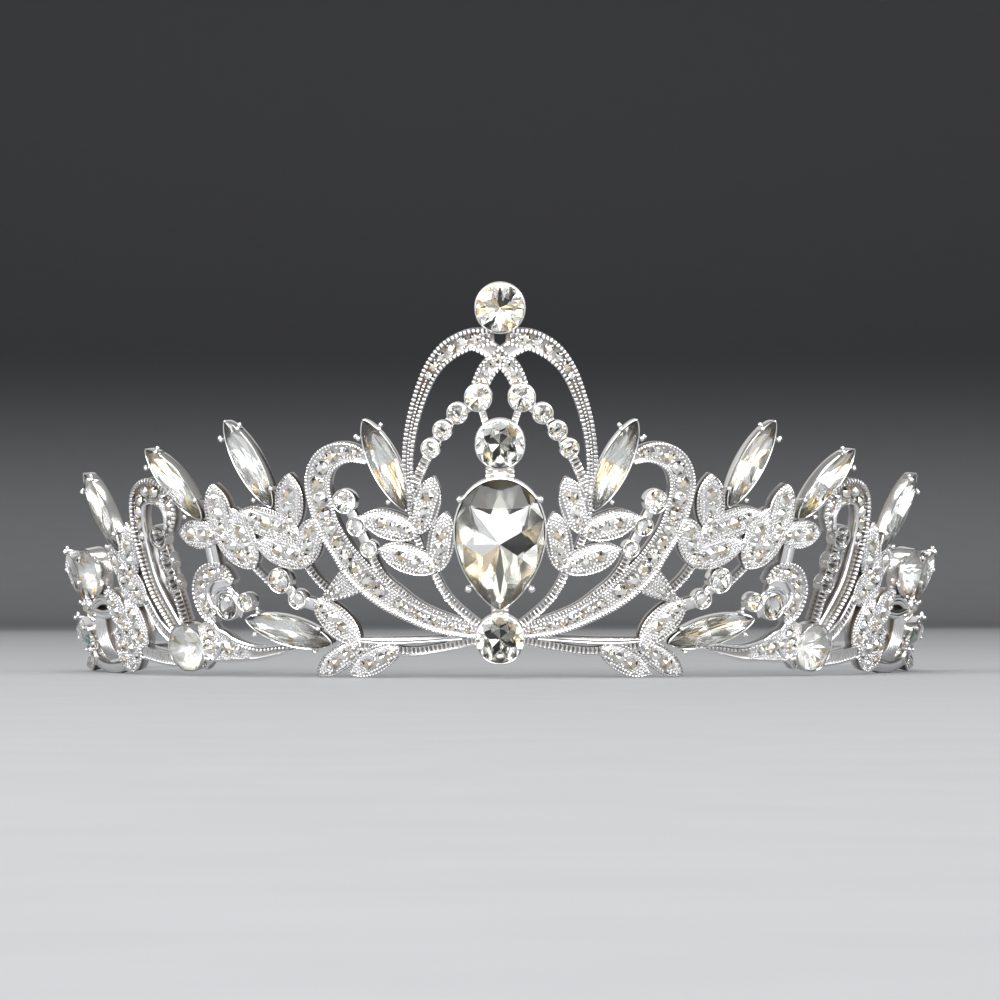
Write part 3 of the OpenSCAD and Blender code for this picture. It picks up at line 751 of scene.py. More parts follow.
# %% The arch and the crossing
ARCH = [[0.7, 47.0, 2.2], [2.0, 46.9, 2.5], [3.9, 46.5, 2.8], [6.2, 45.1, 2.7], [8.1, 42.7, 2.2], [9.6, 39.2, 1.8],
        [10.8, 35, 1.6], [11.4, 30.5, 1.5], [11.3, 26.5, 1.5], [10.8, 22.5, 1.5]]
CROSSING = [[-3.0, 46.3, 2.2], [-1.5, 45.5, 2.3], [0, 44.2, 2.3], [1.4, 42.7, 2.5], [2.2, 41.0, 2.4], [2.6, 39.8, 2.2]]
FINIAL_STRUT = [[1.5, 48.9, 1.2], [1.7, 47.0, 1.2]]
STRING = [[3.2, 38.0, 1.4], [5.15, 36.7, 1.4], [7.0, 34.4, 1.4], [8.6, 31.6, 1.3], [10.0, 28.7, 1.3],
          [11.1, 25.6, 1.3]]
CREST_STRUT = [[2.4, 37.8, 0.9], [1.5, 34.6, 0.9]]
ARCH_SPLIT = 41  # steps from the top to the start of the third row of beads

arch_top, crossing_top = hollow_top(METAL_T, 0.4), hollow_top(METAL_T + 0.04)
arch = [bar(ARCH, arch_top, film_and_shade=0.25), beads(ARCH, 1, 0.26, METAL_T, 0.34),
        beads(ARCH, -1, 0.24, METAL_T - 0.04, 0.3),
        beads(ARCH, 0, 0, METAL_T - 0.22, 0.22, start=ARCH_SPLIT, pitch=0.46)]
arch += pave_row(ARCH, arch_top, 0.58, start=0.06, stop=0.4, store=pave_middle, bare=0.6, sink=-0.2)
arch += [bar(CROSSING, crossing_top, film_and_shade=0.25), *rims(CROSSING, 0.2, METAL_T, 0.24), ribbed_bar(FINIAL_STRUT)]
arch += pave_row(CROSSING, crossing_top, 0.6, start=0.46, store=pave_middle, sink=-0.12)
arch += [ribbed_bar(STRING, METAL_T - 0.1, 0.6, 0.34), ribbed_bar(CREST_STRUT, METAL_T - 0.1, step=0.1)]
both_sides("arch", arch)

# %% [markdown]
# ## Scrolls
# The great scroll starts in a hook beside the inner marquise, runs down as a pavé ribbon and
# splits near the centre into a ribbed strand, a ribbon of small squares and a plain edge.

# %% The great scroll and the bars beside it
SCROLL = [[16.5, 30.8, 1.6], [18.6, 31.6, 2.6], [20.8, 31.3, 3.3], [22.5, 29.9, 3.6], [23.3, 27.4, 3.7],
          [23.0, 24.4, 3.6], [22.2, 21.4, 3.5], [20.6, 18.4, 3.4], [18.6, 15.4, 3.9],
          [15.4, 12.3, 3.6], [11.6, 9.9, 3.1], [7.6, 8.1, 2.7], [2.5, 6.9, 1.8]]
SCROLL_RIB = [[16.8, 18.0, 1.2], [16.0, 16.0, 1.2], [14.8, 14.2, 1.2], [13.0, 12.6, 1.2], [10.4, 10.6, 1.1],
              [6.9, 9.0, 1.1], [3.0, 7.8, 0.9]]
STEM = [[8.7, 15.8, 1.1], [7.5, 13.0, 1.1], [5.7, 10.6, 1.1], [2.2, 7.6, 1.1]]
LEAF_LINK = [[10.9, 21.0, 1.0], [9.8, 17.6, 1.0]]
CLUSTER_BAR = [[26.2, 17.0, 1.1], [24.2, 14.2, 1.1], [21.6, 11.8, 1.3]]
FLARE = [[23.8, 11.4, 0.9], [22.4, 12.3, 2.1], [20.9, 13.3, 3.4], [19.2, 14.5, 4.4]]
THIN_BAR = [[34.2, 16.6, 0.9], [31.0, 13.4, 0.9]]
LOWER_STRING = [[29.8, 14.2, 1.5], [27.4, 11.6, 1.6], [24.6, 10.6, 1.8]]
SCROLL_STRING = [[19.6, 24.4, 1.4], [17.8, 20.2, 1.4], [16.6, 17.4, 1.2]]

SCROLL_TOP = METAL_T + 0.1
scroll_top, flare_top = hollow_top(SCROLL_TOP), hollow_top(METAL_T, 0.25)
scroll = [bar(SCROLL, scroll_top, film_and_shade=0.3), *rims(SCROLL, 0.17, SCROLL_TOP, 0.2, pitch=0.45, neck=0.35)]
scroll += pave_row(SCROLL, scroll_top, 0.6, start=0.03, stop=0.7, sink=-0.14)
scroll += pave_row(SCROLL, scroll_top, 0.42, gap=0.1, start=0.7, stop=0.98, sink=-0.14)
scroll += [ribbed_bar(rows) for rows in (SCROLL_RIB, STEM, LEAF_LINK, CLUSTER_BAR, THIN_BAR)]
scroll += [bar(rows, flat_top(METAL_T - 0.3, 0.15)) for rows in (LOWER_STRING, SCROLL_STRING)]
scroll += [bar(FLARE, flare_top, film_and_shade=0.3), *rims(FLARE, 0.2, METAL_T, 0.22)]
scroll += pave_row(FLARE, flare_top, 0.46, start=0.2, stop=0.8, sink=-0.1)
both_sides("scroll", scroll)

# %% [markdown]
# ## Leaves
# A leaf is a short bar that swells and closes to a point. Its edge is a soft beaded rim, two
# to four stones sit along its middle, the largest nearest the base, and grains cover the rest.

# %% Leaves
LEAVES = [
    [10.4, 20.6, 17.8, 22.9, 4.0], [10.5, 20.6, 8.2, 28.2, 3.9], [8.2, 15.4, 6.8, 23.4, 3.7],
    [8.0, 15.8, 15.6, 18.5, 4.1], [27.8, 21.0, 27.1, 28.9, 4.3], [26.4, 20.6, 35.4, 23.7, 4.1],
    [25.0, 16.8, 33.0, 19.6, 4.2], [26.3, 16.2, 24.1, 22.8, 4.1], [38.1, 20.2, 38.7, 27.7, 4.5],
    [33.6, 16.1, 36.1, 24.3, 4.1], [38.6, 20.4, 45.5, 21.1, 4.0], [39.0, 21.2, 33.4, 16.0, 4.0],
    [24.9, 11.4, 18.8, 5.4, 4.1], [19.0, 5.5, 25.4, 1.1, 3.4], [13.6, 4.9, 20.7, 1.32, 3.6],
    [57.0, 14.0, 56.0, 22.7, 4.3], [56.5, 14.0, 62.3, 18.9, 4.1], [60.3, 15.4, 54.0, 11.4, 5.2],
    [56.2, 4.6, 59.4, 12.2, 4.6], [60.4, 7.4, 65.2, 13.0, 4.8], [70.0, 13.6, 75.6, 18.6, 3.2],
    [70.0, 9.2, 77.2, 11.2, 3.4], [77.0, 3.2, 85.4, 1.6, 2.8]]
leaf_top = flat_top(METAL_T - 0.1, 0.4)


def leaf_width(x):
    """Half width of a leaf at x from base -1 to tip 1: blunt at the base and pointed at the tip."""
    return np.maximum(1 - np.abs(x) ** 2.2, 0) ** np.where(x < 0, 0.55, 0.82)


def leaf(row):
    """One leaf: a domed bar with a leaf's width, beads round its edge, stones and grains all over it."""
    base, tip, width = np.array(row[:2]), np.array(row[2:4]), row[4]

    def middle(x):
        return base + (tip - base) * (x[:, None] + 1) / 2

    x = np.linspace(-1, 1, 17)
    rows = np.column_stack([middle(x), np.maximum(width * leaf_width(x), 0.3)])
    angle = np.linspace(0, 2 * np.pi, 60, endpoint=False)
    x = np.cos(angle) * 0.96
    shift = np.sign(np.sin(angle)) * (leaf_width(x) * width / 2 - 0.14).clip(0.04)
    turn = np.arctan2(tip[1] - base[1], (tip[0] - base[0]) * spread(*base))
    outline = np.column_stack(sideways(*middle(x).T, turn, shift))
    rim = strand(outline, METAL_T + 0.02, 0.17, closed=True, pitch=0.45, neck=0.12)
    return [bar(rows, leaf_top, film_and_shade=0.35), rim] + pave_row(
        rows, leaf_top, 0.56, gap=0.12, start=0.1, stop=0.92, most=1.85, bare=0.36, sink=0.02)


both_sides("leaves", [form for row in LEAVES for form in leaf(row)])

# %% [markdown]
# ## Lower edge and swirl
# Near the centre the lower edge is a long polished wedge over a beaded ribbon. Further out a
# ribbon of stones curls round a cup and trails away in a tail under a lying marquise.

# %% Lower edge and swirl
WEDGE = [[19.6, 6.0, 0.7], [14.0, 5.8, 1.1], [5.0, 6.3, 0.7]]
BEADED = [[19.8, 5.2, 1.2], [16.0, 4.8, 1.3], [12.0, 4.4, 1.3], [8.0, 4.9, 1.3], [2.4, 6.0, 1.3]]
TAIL = [[43.4, 8.4, 3.4], [42.0, 5.6, 4.8], [40.2, 4.9, 4.5], [38.0, 4.4, 3.2], [34.6, 4.1, 2.2], [31.0, 4.6, 1.7],
        [27.0, 5.3, 1.0]]
TAIL_FAN = [[41.6, 6.4, 3.6], [42.8, 4.4, 3.4], [43.8, 2.8, 1.8], [44.2, 1.8, 0.8]]
SWIRL_POST = [[40.4, 19.6, 2.2], [40.0, 16.0, 2.2]]
SWIRL_CENTRE = (39.8, 12.3)
SWIRL_R = 3.25
COIL_CENTRE = (38.6, 10.6)
TAIL_SPLIT = 25  # steps from the top to the start of the inner row of beads


def near(centre, x, y):
    """The place at x along the band and y up its face from a centre."""
    return centre[0] + x / spread(*centre), centre[1] + y


def ring_rows(centre, radius, angles, width):
    """Rows of u, v and width on an arc round a centre."""
    u, v = near(centre, radius * np.cos(angles), radius * np.sin(angles))
    return np.column_stack([u, v, np.broadcast_to(width, len(angles))])


SWIRL = ring_rows(SWIRL_CENTRE, SWIRL_R, np.radians([148, 110, 60, 10, -40, -75]), [0.9, 2.3, 3.0, 3.0, 2.9, 2.8])
COIL = [ring_rows(COIL_CENTRE, r, np.radians(np.linspace(0, 215, 40)), 0)[:, :2] for r in (2.15, 2.6)]
tail_top, swirl_top = hollow_top(METAL_T + 0.05), hollow_top(METAL_T + 0.3, 0.25)
swirl = [lined_bar(WEDGE, METAL_T + 0.05, 0.25, 0.22), ribbed_bar(BEADED, METAL_T, 0.6),
         beads(BEADED, 1, 0.2, METAL_T, 0.22, neck=0)]
for rows in (TAIL, TAIL_FAN):
    swirl += [bar(rows, tail_top, film_and_shade=0.3), beads(rows, -1, 0.2, METAL_T, 0.22, neck=0)]
swirl += [beads(TAIL, 1, 0.2, METAL_T + 0.02, 0.22, neck=0), beads(TAIL_FAN, 1, 0.2, METAL_T, 0.22),
          beads(TAIL, -1, 0.72, METAL_T - 0.04, 0.26, start=TAIL_SPLIT), lined_bar(SWIRL_POST, METAL_T, 0.2, 0.3),
          bar(SWIRL, swirl_top, film_and_shade=0.3), beads(SWIRL, 1, 0.18, METAL_T + 0.28, 0.22),
          beads(SWIRL, -1, 0.18, METAL_T + 0.28, 0.2, neck=0),
          *(strand(line, METAL_T + 0.1, 0.17, neck=0) for line in COIL),
          bar(ring_rows(SWIRL_CENTRE, 1.2, np.linspace(0, 2 * np.pi, 14), 2.4), flat_top(METAL_T - 0.2))]
swirl += pave_row(SWIRL, swirl_top, 0.48, gap=0.12, sink=-0.1)
swirl += pave_row(TAIL, tail_top, 0.4, gap=0.12, start=0.06, stop=0.5, most=1.8, sink=-0.1)
swirl += pave_row(TAIL_FAN, tail_top, 0.42, gap=0.12, start=0.3, stop=0.96, sink=-0.1)
both_sides("swirl", swirl)

# %% [markdown]
# ## Side loop and its strings
# The loop starts as pavé over a cup, turns down and becomes a rope-like strand with a polished
# channel inside it. Ribbed bars tie it to the cluster behind.

# %% Side loop
LOOP = [[47.5, 21.4, 1.6], [46.9, 23.6, 2.4], [47.6, 25.8, 3.2], [50.2, 27.0, 3.6], [52.6, 25.9, 3.4],
        [53.4, 22.6, 3.1], [53.0, 17.8, 3.0], [51.7, 13.0, 2.8], [48.2, 7.2, 2.4]]
OVAL_STRING = [[49.6, 21.4, 1.6], [48.7, 16.9, 1.6], [47.9, 13.4, 1.6], [46.8, 8.4, 1.7]]
UPPER_RIB = [[54.6, 11.8, 1.7], [52.4, 8.2, 1.7], [49.8, 5.9, 1.7]]
LOWER_RIB = [[58.0, 4.2, 2.0], [53.0, 3.3, 2.0], [48.6, 2.9, 2.0]]

LOOP_TOP = METAL_T + 0.1
loop_top = hollow_top(LOOP_TOP, 0.35)
loop = [bar(LOOP, loop_top, film_and_shade=0.2), beads(LOOP, 1, 0.3, LOOP_TOP, 0.36, neck=0.3),
        beads(LOOP, -1, 0.25, LOOP_TOP, 0.28, neck=0)]
loop += pave_row(LOOP, loop_top, 0.5, start=0.02, stop=0.56, bare=0.6, sink=-0.16)
loop += [ribbed_bar(rows, METAL_T + 0.05, 0.62, 0.34, 0.1) for rows in (OVAL_STRING, UPPER_RIB, LOWER_RIB)]
for rows in (UPPER_RIB, LOWER_RIB):
    loop += rims(rows, 0.16, METAL_T, 0.18, neck=0)
both_sides("side_loop", loop)

# %% [markdown]
# ## The far end
# Seen edge-on in the picture: a pavé disc with smooth ribs like a shell, polished bow bars
# that cross between the large stones, and the strip under which the wire is gripped.

# %% Shell, bow and strip
BOW_UPPER = [[63.6, 11.4, 1.5], [67.6, 11.6, 1.6], [71.6, 10.4, 1.5]]
BOW_LOWER = [[64.4, 9.6, 1.3], [67.6, 9.4, 1.4], [71.4, 10.0, 1.3]]
STRIP = [[61.6, 2.2, 1.7], [67.0, 1.7, 1.8], [72.0, 1.9, 1.8], [78.6, 3.0, 2.0]]
END_POST = [[72.6, 13.2, 2.0], [73.4, 9.6, 2.0], [75.6, 6.0, 2.0], [77.6, 2.6, 2.0]]
SHELL_CENTRE, LEAF_BOSS = (60.8, 4.85), (26.4, 19.6)


def disc(centre, radius, top):
    """A low round boss: a bar round a small circle that closes on itself."""
    rim = ring_rows(centre, radius * 0.5, np.linspace(0, 2 * np.pi, 17), radius)
    return bar(rim, flat_top(top - 0.2, 0.2), film_and_shade=0.3)


def paved_disc(centre, radius, top, stones):
    """A disc with a beaded rim, stones at distance, angle and size from its middle, and grains over the rest."""
    far, angle, d = np.array(stones).T
    x, y = far * np.cos(angle), far * np.sin(angle)
    set_stones(*near(centre, x, y), top - 0.04, angle, d, pave_right)
    steps = np.arange(-12, 13) * GRAIN_PITCH
    gx, gy = np.meshgrid(steps, steps * ROW_SHARE)
    gx[::2] += GRAIN_PITCH / 2
    gap = np.hypot(gx[..., None] - x, gy[..., None] - y) - d / 2
    keep = (gap.min(-1) > GRAIN_GAP) & (np.hypot(gx, gy) < radius - 0.35)
    grains = set_grains(*near(centre, gx[keep], gy[keep]), top - 0.1, 0)
    rim = ring_rows(centre, radius - 0.1, np.linspace(0, 2 * np.pi, 40)[:-1], 0)[:, :2]
    return [disc(centre, radius, top), strand(rim, top - 0.2, 0.24, closed=True, pitch=0.5), grains]


shell = [lined_bar(rows, METAL_T + 0.15, 0.3, 0.15) for rows in (BOW_UPPER, BOW_LOWER)]
shell += [bar(STRIP, flat_top(METAL_T - 0.1, 0.2)), bar(END_POST, flat_top(METAL_T - 0.35))]
for k, width, top in [(1, 4.4, METAL_T - 0.4)] + [(k, 0.62, METAL_T - 0.1) for k in np.linspace(0, 2, 6)]:
    rib = [[67.4 + 1.9 * k, 9.2, width], [67.4 + 1.8 * k, 5.9 - 0.4 * k, width],
           [64.8 + 1.4 * k, 3.25 - 0.3 * k, width], [62.4 + 1.4 * k, 2.9 - 0.1 * k, width * 0.6]]
    shell.append(bar(rib, flat_top(top, 0.4)))
shell += paved_disc(SHELL_CENTRE, 3.7, METAL_T + 0.4,
                    [(0.95, 0.2, 1.8), (0.95, 3.3, 1.8)] + [(2.55, k * 0.9, 1.2) for k in range(7)])
shell.append(disc(LEAF_BOSS, 1.9, METAL_T))
both_sides("end_scroll", shell)

# %% [markdown]
# ## Cups and boats
# Every stone sits in a thin-walled cup. Its wall is a profile carried round the stone's own
# outline: up the outside, over a rounded rim and down the inside to the seat. The long stones
# have claws, a short stalk with a ball on it, near both tips. Each half's two large round
# stones have softer foil, which makes them pearly. A few facets of the outer stones are
# coloured, where the photo shows a glint of split light.

# %% Cups for all outlines
CUP_WALL, CUP_FLOOR, RIM_LIFT = 0.26, 0.1, 0.05
STALK_R, STALK_FOOT = 0.2, 0.4


def girdle_n(d):
    """Height of the widest line of a round stone of diameter d."""
    return 1.15 + 0.2 * d


def cup(girdle, size, line_n, sides=32, flare=0.0):
    """A wall round an outline, as rows of distance outside the stone and height, closed below by a floor.

    It stands a little higher than line_n, the height of the stone's widest line.
    """
    top = line_n + RIM_LIFT
    x, y = girdle(np.linspace(0, 2 * np.pi, sides, endpoint=False))
    rows = np.array([[CUP_WALL * 0.6 - flare, CUP_FLOOR], [CUP_WALL - flare, CUP_FLOOR + 0.35], [CUP_WALL, top - 0.12],
                     [CUP_WALL * 0.85, top + 0.02], [CUP_WALL * 0.45, top + 0.05], [0.03, top], [0.03, top - 0.3],
                     [-0.9, CUP_FLOOR + 0.02]])
    grow, z = rows[:, :1], rows[:, 1:]
    points = np.stack([x * (size[0] + grow), y * (size[1] + grow), z + 0 * x], -1)
    # The lower the wall, inside or out, the darker and warmer the metal: painted shade, with a little tarnish.
    valley = np.clip((top - z) / top, 0, 1) * 0.7 + 0 * x
    return facing_out(Form(points, [grid_quads(len(rows), sides), end_caps(len(rows), sides)], valley))


def claw(height, reach, radius):
    """A stalk that leans out to x = reach, with a ball of a given radius on its end."""
    t = np.linspace(0, 1, 6)[:, None]
    ring = np.linspace(0, 2 * np.pi, 8, endpoint=False)
    stalk = np.stack([reach * np.sin(t * np.pi / 2) + STALK_R * np.cos(ring), STALK_R * np.sin(ring) + 0 * t,
                      height * t + 0 * ring], -1)
    tube = facing_out(Form(stalk, [grid_quads(6, 8), end_caps(6, 8)]))
    return join([tube, BALL.moved(BALL.points * radius + [reach - 0.05, 0, height])])


def turned(form, angle, place):
    """A form turned about its upright axis and moved to a place."""
    c, s = np.cos(angle), np.sin(angle)
    return form.moved(form.points @ np.array([[c, s, 0], [-s, c, 0], [0, 0, 1]]) + place)

# %% Round cups and their stones
CENTRE_D = 6.3
ROUNDS = [[46.4, 4.9, 6.4], [67.8, 15.8, 6.4], [2.6, 38.9, 3.3], [19.8, 25.0, 2.9], [29.8, 14.2, 3.1],
          [49.6, 20.5, 2.9], [38.6, 10.6, 3.3]]
CHATONS = [[5.15, 36.8, 2.4], [7.0, 34.5, 2.2], [8.5, 32.1, 2.2], [18.4, 21.6, 2.3], [16.9, 18.5, 2.0],
           [27.4, 11.6, 2.3], [48.7, 16.9, 2.4], [48.0, 13.8, 2.2], [35.5, 11.2, 2.2], [76.4, 3.2, 2.2]]
SEAT_N = 1.75
FLOOR_GAP, CHATON_GAP = 0.15, 0.3
# The first rounds are the large ones, and one of them has two coloured facets, painted glints of split light.
LARGE_ROUNDS, GLINT_ROUND, ROUND_GLINTS = 2, 1, {-11: ORANGE, -20: CYAN}


def round_cup(d, n):
    """A cup for a round stone whose widest line is at height n."""
    return cup(round_girdle, (d / 2, d / 2), n)


def round_cut(d, back, mix=ROUND_MIX, low=(0.3,)):
    """A round stone of diameter d, its back no deeper than back."""
    return cut_stone(round_girdle, 8, (d / 2, d / 2), 0.56, 0.16 * d, min(0.4 * d, back), low=low, mix=mix)


cups = [copies(round_cup(d, girdle_n(d)), seats(u, v, 0)) for u, v, d in ROUNDS]
cups += [copies(round_cup(d, SEAT_N), seats(u, v, 0)) for u, v, d in CHATONS]
both_sides("cups", cups, CUP)
for side in SIDES:
    for k, (u, v, d) in enumerate(ROUNDS):
        n, large = girdle_n(d), k < LARGE_ROUNDS
        cut = round_cut(d, n - FLOOR_GAP, WHITE_MIX if large else ROUND_MIX)
        if k == GLINT_ROUND:
            cut.shade[list(ROUND_GLINTS)] = list(ROUND_GLINTS.values())
        crystal(f"round_crystal_{side}_{k + 1}", [on_side(copies(cut, seats(u, v, n, 0.2 * k)), side)],
                f"round_{side}_{k + 1}", PEARLY_STONE if large else STONE)
    small = [copies(round_cut(d, SEAT_N - CHATON_GAP), seats(u, v, SEAT_N, 0.3 * k))
             for k, (u, v, d) in enumerate(CHATONS)]
    crystal(f"chaton_crystals_{side}", [on_side(s, side) for s in small], f"small_chatons_{side}")

# %% Boats and their long stones
MARQUISE_L, MARQUISE_W, MARQUISE_N = 13.2, 3.8, 1.7
MARQUISES = [[11.8, 23.8, 16.7, 36.0], [29.9, 24.3, 35.6, 36.4], [40.9, 22.8, 49.6, 33.0], [58.9, 18.9, 65.0, 29.6],
             [22.6, 5.5, 35.7, 8.9], [72.6, 11.6, 84.0, 18.8], [74.6, 5.6, 87.0, 7.8]]
# Shares of the half length and width, and whether a second ball follows. Then a claw's height, reach and ball.
BOAT_CLAWS = ((0.72, 0.62, True), (-0.7, 0.66, False))
BOAT_CLAW, LOW_BALL_R = (1.84, 0.45, 0.34), 0.33
# The last two stones are whiter. Three have one coloured facet each, a painted glint of split light.
WHITE_FROM, GLINTS, GLINT_FACET = 5, {2: YELLOW, 5: ORANGE, 6: CYAN}, -15


def boat_seat(row, n=0.0):
    """The seat in the middle of a long stone, turned from its base to its tip."""
    u, v = (row[0] + row[2]) / 2, (row[1] + row[3]) / 2
    return seats(u, v, n, np.arctan2(row[3] - row[1], (row[2] - row[0]) * spread(u, v)))


def boat(size):
    """A boat's wall with four claws, at shares of its half length and width, two with a second ball below."""
    parts = [cup(boat_girdle, size, MARQUISE_N, sides=40, flare=0.1)]
    for along, across, double in BOAT_CLAWS:
        for side in (1, -1):
            y = side * size[1] * across
            parts.append(turned(claw(*BOAT_CLAW), side * np.pi / 2, [along * size[0], y, STALK_FOOT]))
            if double:
                place = [(along + 0.06) * size[0], y + side * 0.75, 1.75]
                parts.append(BALL.moved(BALL.points * LOW_BALL_R + place))
    return join(parts)


boat_size = (MARQUISE_L / 2, MARQUISE_W / 2)
BOAT = boat(boat_size)
both_sides("boats", [copies(BOAT, boat_seat(row)) for row in MARQUISES], CUP)
for side in SIDES:
    for k, row in enumerate(MARQUISES):
        stone = cut_stone(boat_girdle, 6, boat_size, 0.55, 0.85, 1.55, low=(0.4,),
                          mix=WHITE_MIX if k >= WHITE_FROM else LONG_MIX)
        if k in GLINTS:
            stone.shade[GLINT_FACET] = GLINTS[k]
        crystal(f"marquise_crystal_{side}_{k + 1}", [on_side(copies(stone, boat_seat(row, MARQUISE_N)), side)],
                f"marquise_{side}_{k + 1}", LONG_STONE)

# %% [markdown]
# ## Centre line
# Three round stones and the pear stand one above the other. The two lower round stones have a
# bright ring, and in its middle a star of grey and nearly black facets, a painted dark reflection.
# The pear catches the eye: its table is wide, and its back has few, large facets, some of them
# painted grey, tan or nearly black as reflections. The back leans, being deeper towards the top,
# so that most facets send the front panel's light out again, and each of its corners stands a
# little off, which gives every facet a tone of its own. The pear has its own seed, chosen for a
# bright table, so a change to another stone doesn't alter it.

# %% Centre cups, collars and the pear
PEAR_L, PEAR_W, PEAR_N, PEAR_V = 17.6, 12.0, 3.0, 19.3
CENTRE_V = {"finial": 50.9, "crest": 32.7, "base": 6.2}
CREST_COLLAR = [[0, 30.4, 4.0], [0, 27.1, 4.0]]
PEAR_FOOT = [[0, 11.2, 2.4], [0, 8.2, 2.4]]
CENTRE_N = girdle_n(CENTRE_D)
PEAR_CLAWS, PEAR_CLAW = ((0.39, 0.35), (0.3, -0.34)), (2.9, 0.7, 0.5)
# Colours of the pear's sixteen innermost back facets: painted grey, tan and dark reflections among the silver.
PEAR_SHADES = [GREY_REFLECTION, CLEAR, GREY_REFLECTION, CLEAR, GREY_REFLECTION, CLEAR, TAN, GREY_REFLECTION,
               GREY_REFLECTION, DARK, CLEAR, GREY_REFLECTION, CLEAR, CLEAR, TAN, DARK]
PEAR_DEPTHS, PEAR_WAVER, BACK_LEAN = (1.3, 1.35, 1.4), 0.35, 0.115
BACK_CORNERS, HEART_FACETS = 17, 8

centre = [ribbed_bar(CREST_COLLAR, METAL_T + 0.3, 0.62, step=LINE_STEP),
          ribbed_bar(PEAR_FOOT, METAL_T, 0.6, step=LINE_STEP)]
centre += [copies(round_cup(CENTRE_D, CENTRE_N), seats(0, v, 0)) for v in CENTRE_V.values()]
pear_size = (PEAR_W / 2, PEAR_L / 2)
pear_parts = [cup(pear_girdle, pear_size, PEAR_N, sides=56, flare=0.1)]
for side in (1, -1):
    for x, y in PEAR_CLAWS:
        pear_parts.append(turned(claw(*PEAR_CLAW), 0 if side > 0 else np.pi, [side * PEAR_W * x, PEAR_L * y, 0.3]))
centre += [copies(part, seats(0, PEAR_V, 0)) for part in pear_parts]
piece("centre_cups", centre, (CUP,), ["frame"])

for name, v in CENTRE_V.items():
    cut = round_cut(CENTRE_D, CENTRE_N - FLOOR_GAP)
    if name != "finial":
        cut = round_cut(CENTRE_D, 1.9, WHITE_MIX, low=(0.66, 0.44))
        # Painted dark reflection: the eight facets round the tip take grey and dark in turn.
        cut.shade[-HEART_FACETS:] = [GREY_REFLECTION, DARK] * (HEART_FACETS // 2)
    crystal(name + "_crystal", [copies(cut, seats(0, v, CENTRE_N))], name + "_stone")
rng = np.random.default_rng(seed=14)
pear = cut_stone(pear_girdle, 8, pear_size, 0.62, 1.3, 1.4, star=0.84, low=(0.78, 0.48), twist=0.5, mix=PEAR_MIX)
pear.shade[-len(PEAR_SHADES):] = PEAR_SHADES
corner = pear.points[-BACK_CORNERS:]
depth = np.repeat(PEAR_DEPTHS, [8, 8, 1]) + rng.uniform(-PEAR_WAVER, PEAR_WAVER, BACK_CORNERS)
corner[:, 2] = -(depth + BACK_LEAN * corner[:, 1]).clip(0.15, 2.7)
crystal("pear_crystal", [copies(pear, seats(0, PEAR_V, PEAR_N))], "pear_stone", PEAR_STONE)

# %% The small set stones
crossing_stone = []
set_stones(*np.array([[0.0], [44.2], [METAL_T - 0.05], [0.4], [1.3]]), crossing_stone)
for side in SIDES:
    crystal("pave_crystals_" + side, [on_side(f, side) for f in pave_right], "pave_" + side, SMALL)
crystal("pave_crystals_centre", pave_middle + [mirrored(f) for f in pave_middle] + crossing_stone, "pave_centre",
        SMALL)

# %% [markdown]
# ## Spring wires
# Two round wires close the crown behind the head. Each is gripped by a pressed sleeve on the
# band's back and ends in a loop of flattened wire for a hair pin.

# %% Wires and sleeves
WIRE_D, WIRE_R, WIRE_Z, WIRE_Y = 1.6, 59.5, 3.2, -10.5
WIRE_FROM, WIRE_TO = np.radians(-9), np.radians(28)
LOOP_D, STRIP_W, STRIP_T = 4.8, 1.8, 0.7
SLEEVE_SIZE, SLEEVE_OUT, SLEEVE_AHEAD = (3.8, 4.6, 3.4), 0.2, 0.7


def at_wire(x, y, z, turn):
    """The point x out from the wire's line, y ahead along it and z up, at an angle round the head."""
    c, s = np.cos(turn), np.sin(turn)
    return np.stack([(WIRE_R + x) * c - y * s, WIRE_Y + (WIRE_R + x) * s + y * c, WIRE_Z + z], -1)


def wire():
    """A round wire on an arc, and a ring of flat strip at its end with its hole along the radius."""
    t = np.linspace(WIRE_FROM, WIRE_TO, 60)[:, None]
    ring = np.linspace(0, 2 * np.pi, 16, endpoint=False)
    tube = at_wire(WIRE_D / 2 * np.cos(ring), 0, WIRE_D / 2 * np.sin(ring) + 0 * t, t)
    a = np.linspace(0, 2 * np.pi, 64, endpoint=False)[:, None]
    section = np.linspace(0, 2 * np.pi, 12, endpoint=False) + np.pi / 12
    wide, deep = pressed(np.cos(section), 0.5) * STRIP_W / 2, pressed(np.sin(section), 0.5) * STRIP_T / 2
    far = LOOP_D / 2 + STRIP_T / 2 + deep
    eye = at_wire(wide + 0 * a, LOOP_D / 2 + STRIP_T - 0.2 + far * np.cos(a), far * np.sin(a), WIRE_TO)
    return [facing_out(Form(tube, [grid_quads(60, 16), end_caps(60, 16)])),
            facing_out(Form(eye, [grid_quads(64, 12, loop=True)]))]


def sleeve(rings=14, sides=28):
    """A pressed sleeve round the wire's start: a box with rounded edges, squared out of a ball."""
    x, y, z = (globe(rings, sides, 0.3) * SLEEVE_SIZE / 2).T
    points = at_wire(x + SLEEVE_OUT, y + SLEEVE_AHEAD, z, WIRE_FROM)
    return facing_out(Form(points, [grid_quads(rings, sides), end_caps(rings, sides)]))


both_sides("wire_sleeve", [sleeve()], SLEEVE)
both_sides("spring_wire", wire(), WIRE, "wire_{}")

# %% [markdown]
# ## Stage, light and camera
# Bright metal is only as good as what it mirrors, and cut stones send light back to where it
# came from. So one large soft panel stands behind the camera and above it. Smaller ones stand
# left, right and above, and a wide dim one behind, with darker room between them, so each bead
# has a white side and a dark one, and five tiny ones put the sparks into the facets. The floor
# is pale and turns dark as it rises behind. The camera stands straight in front, just above it.

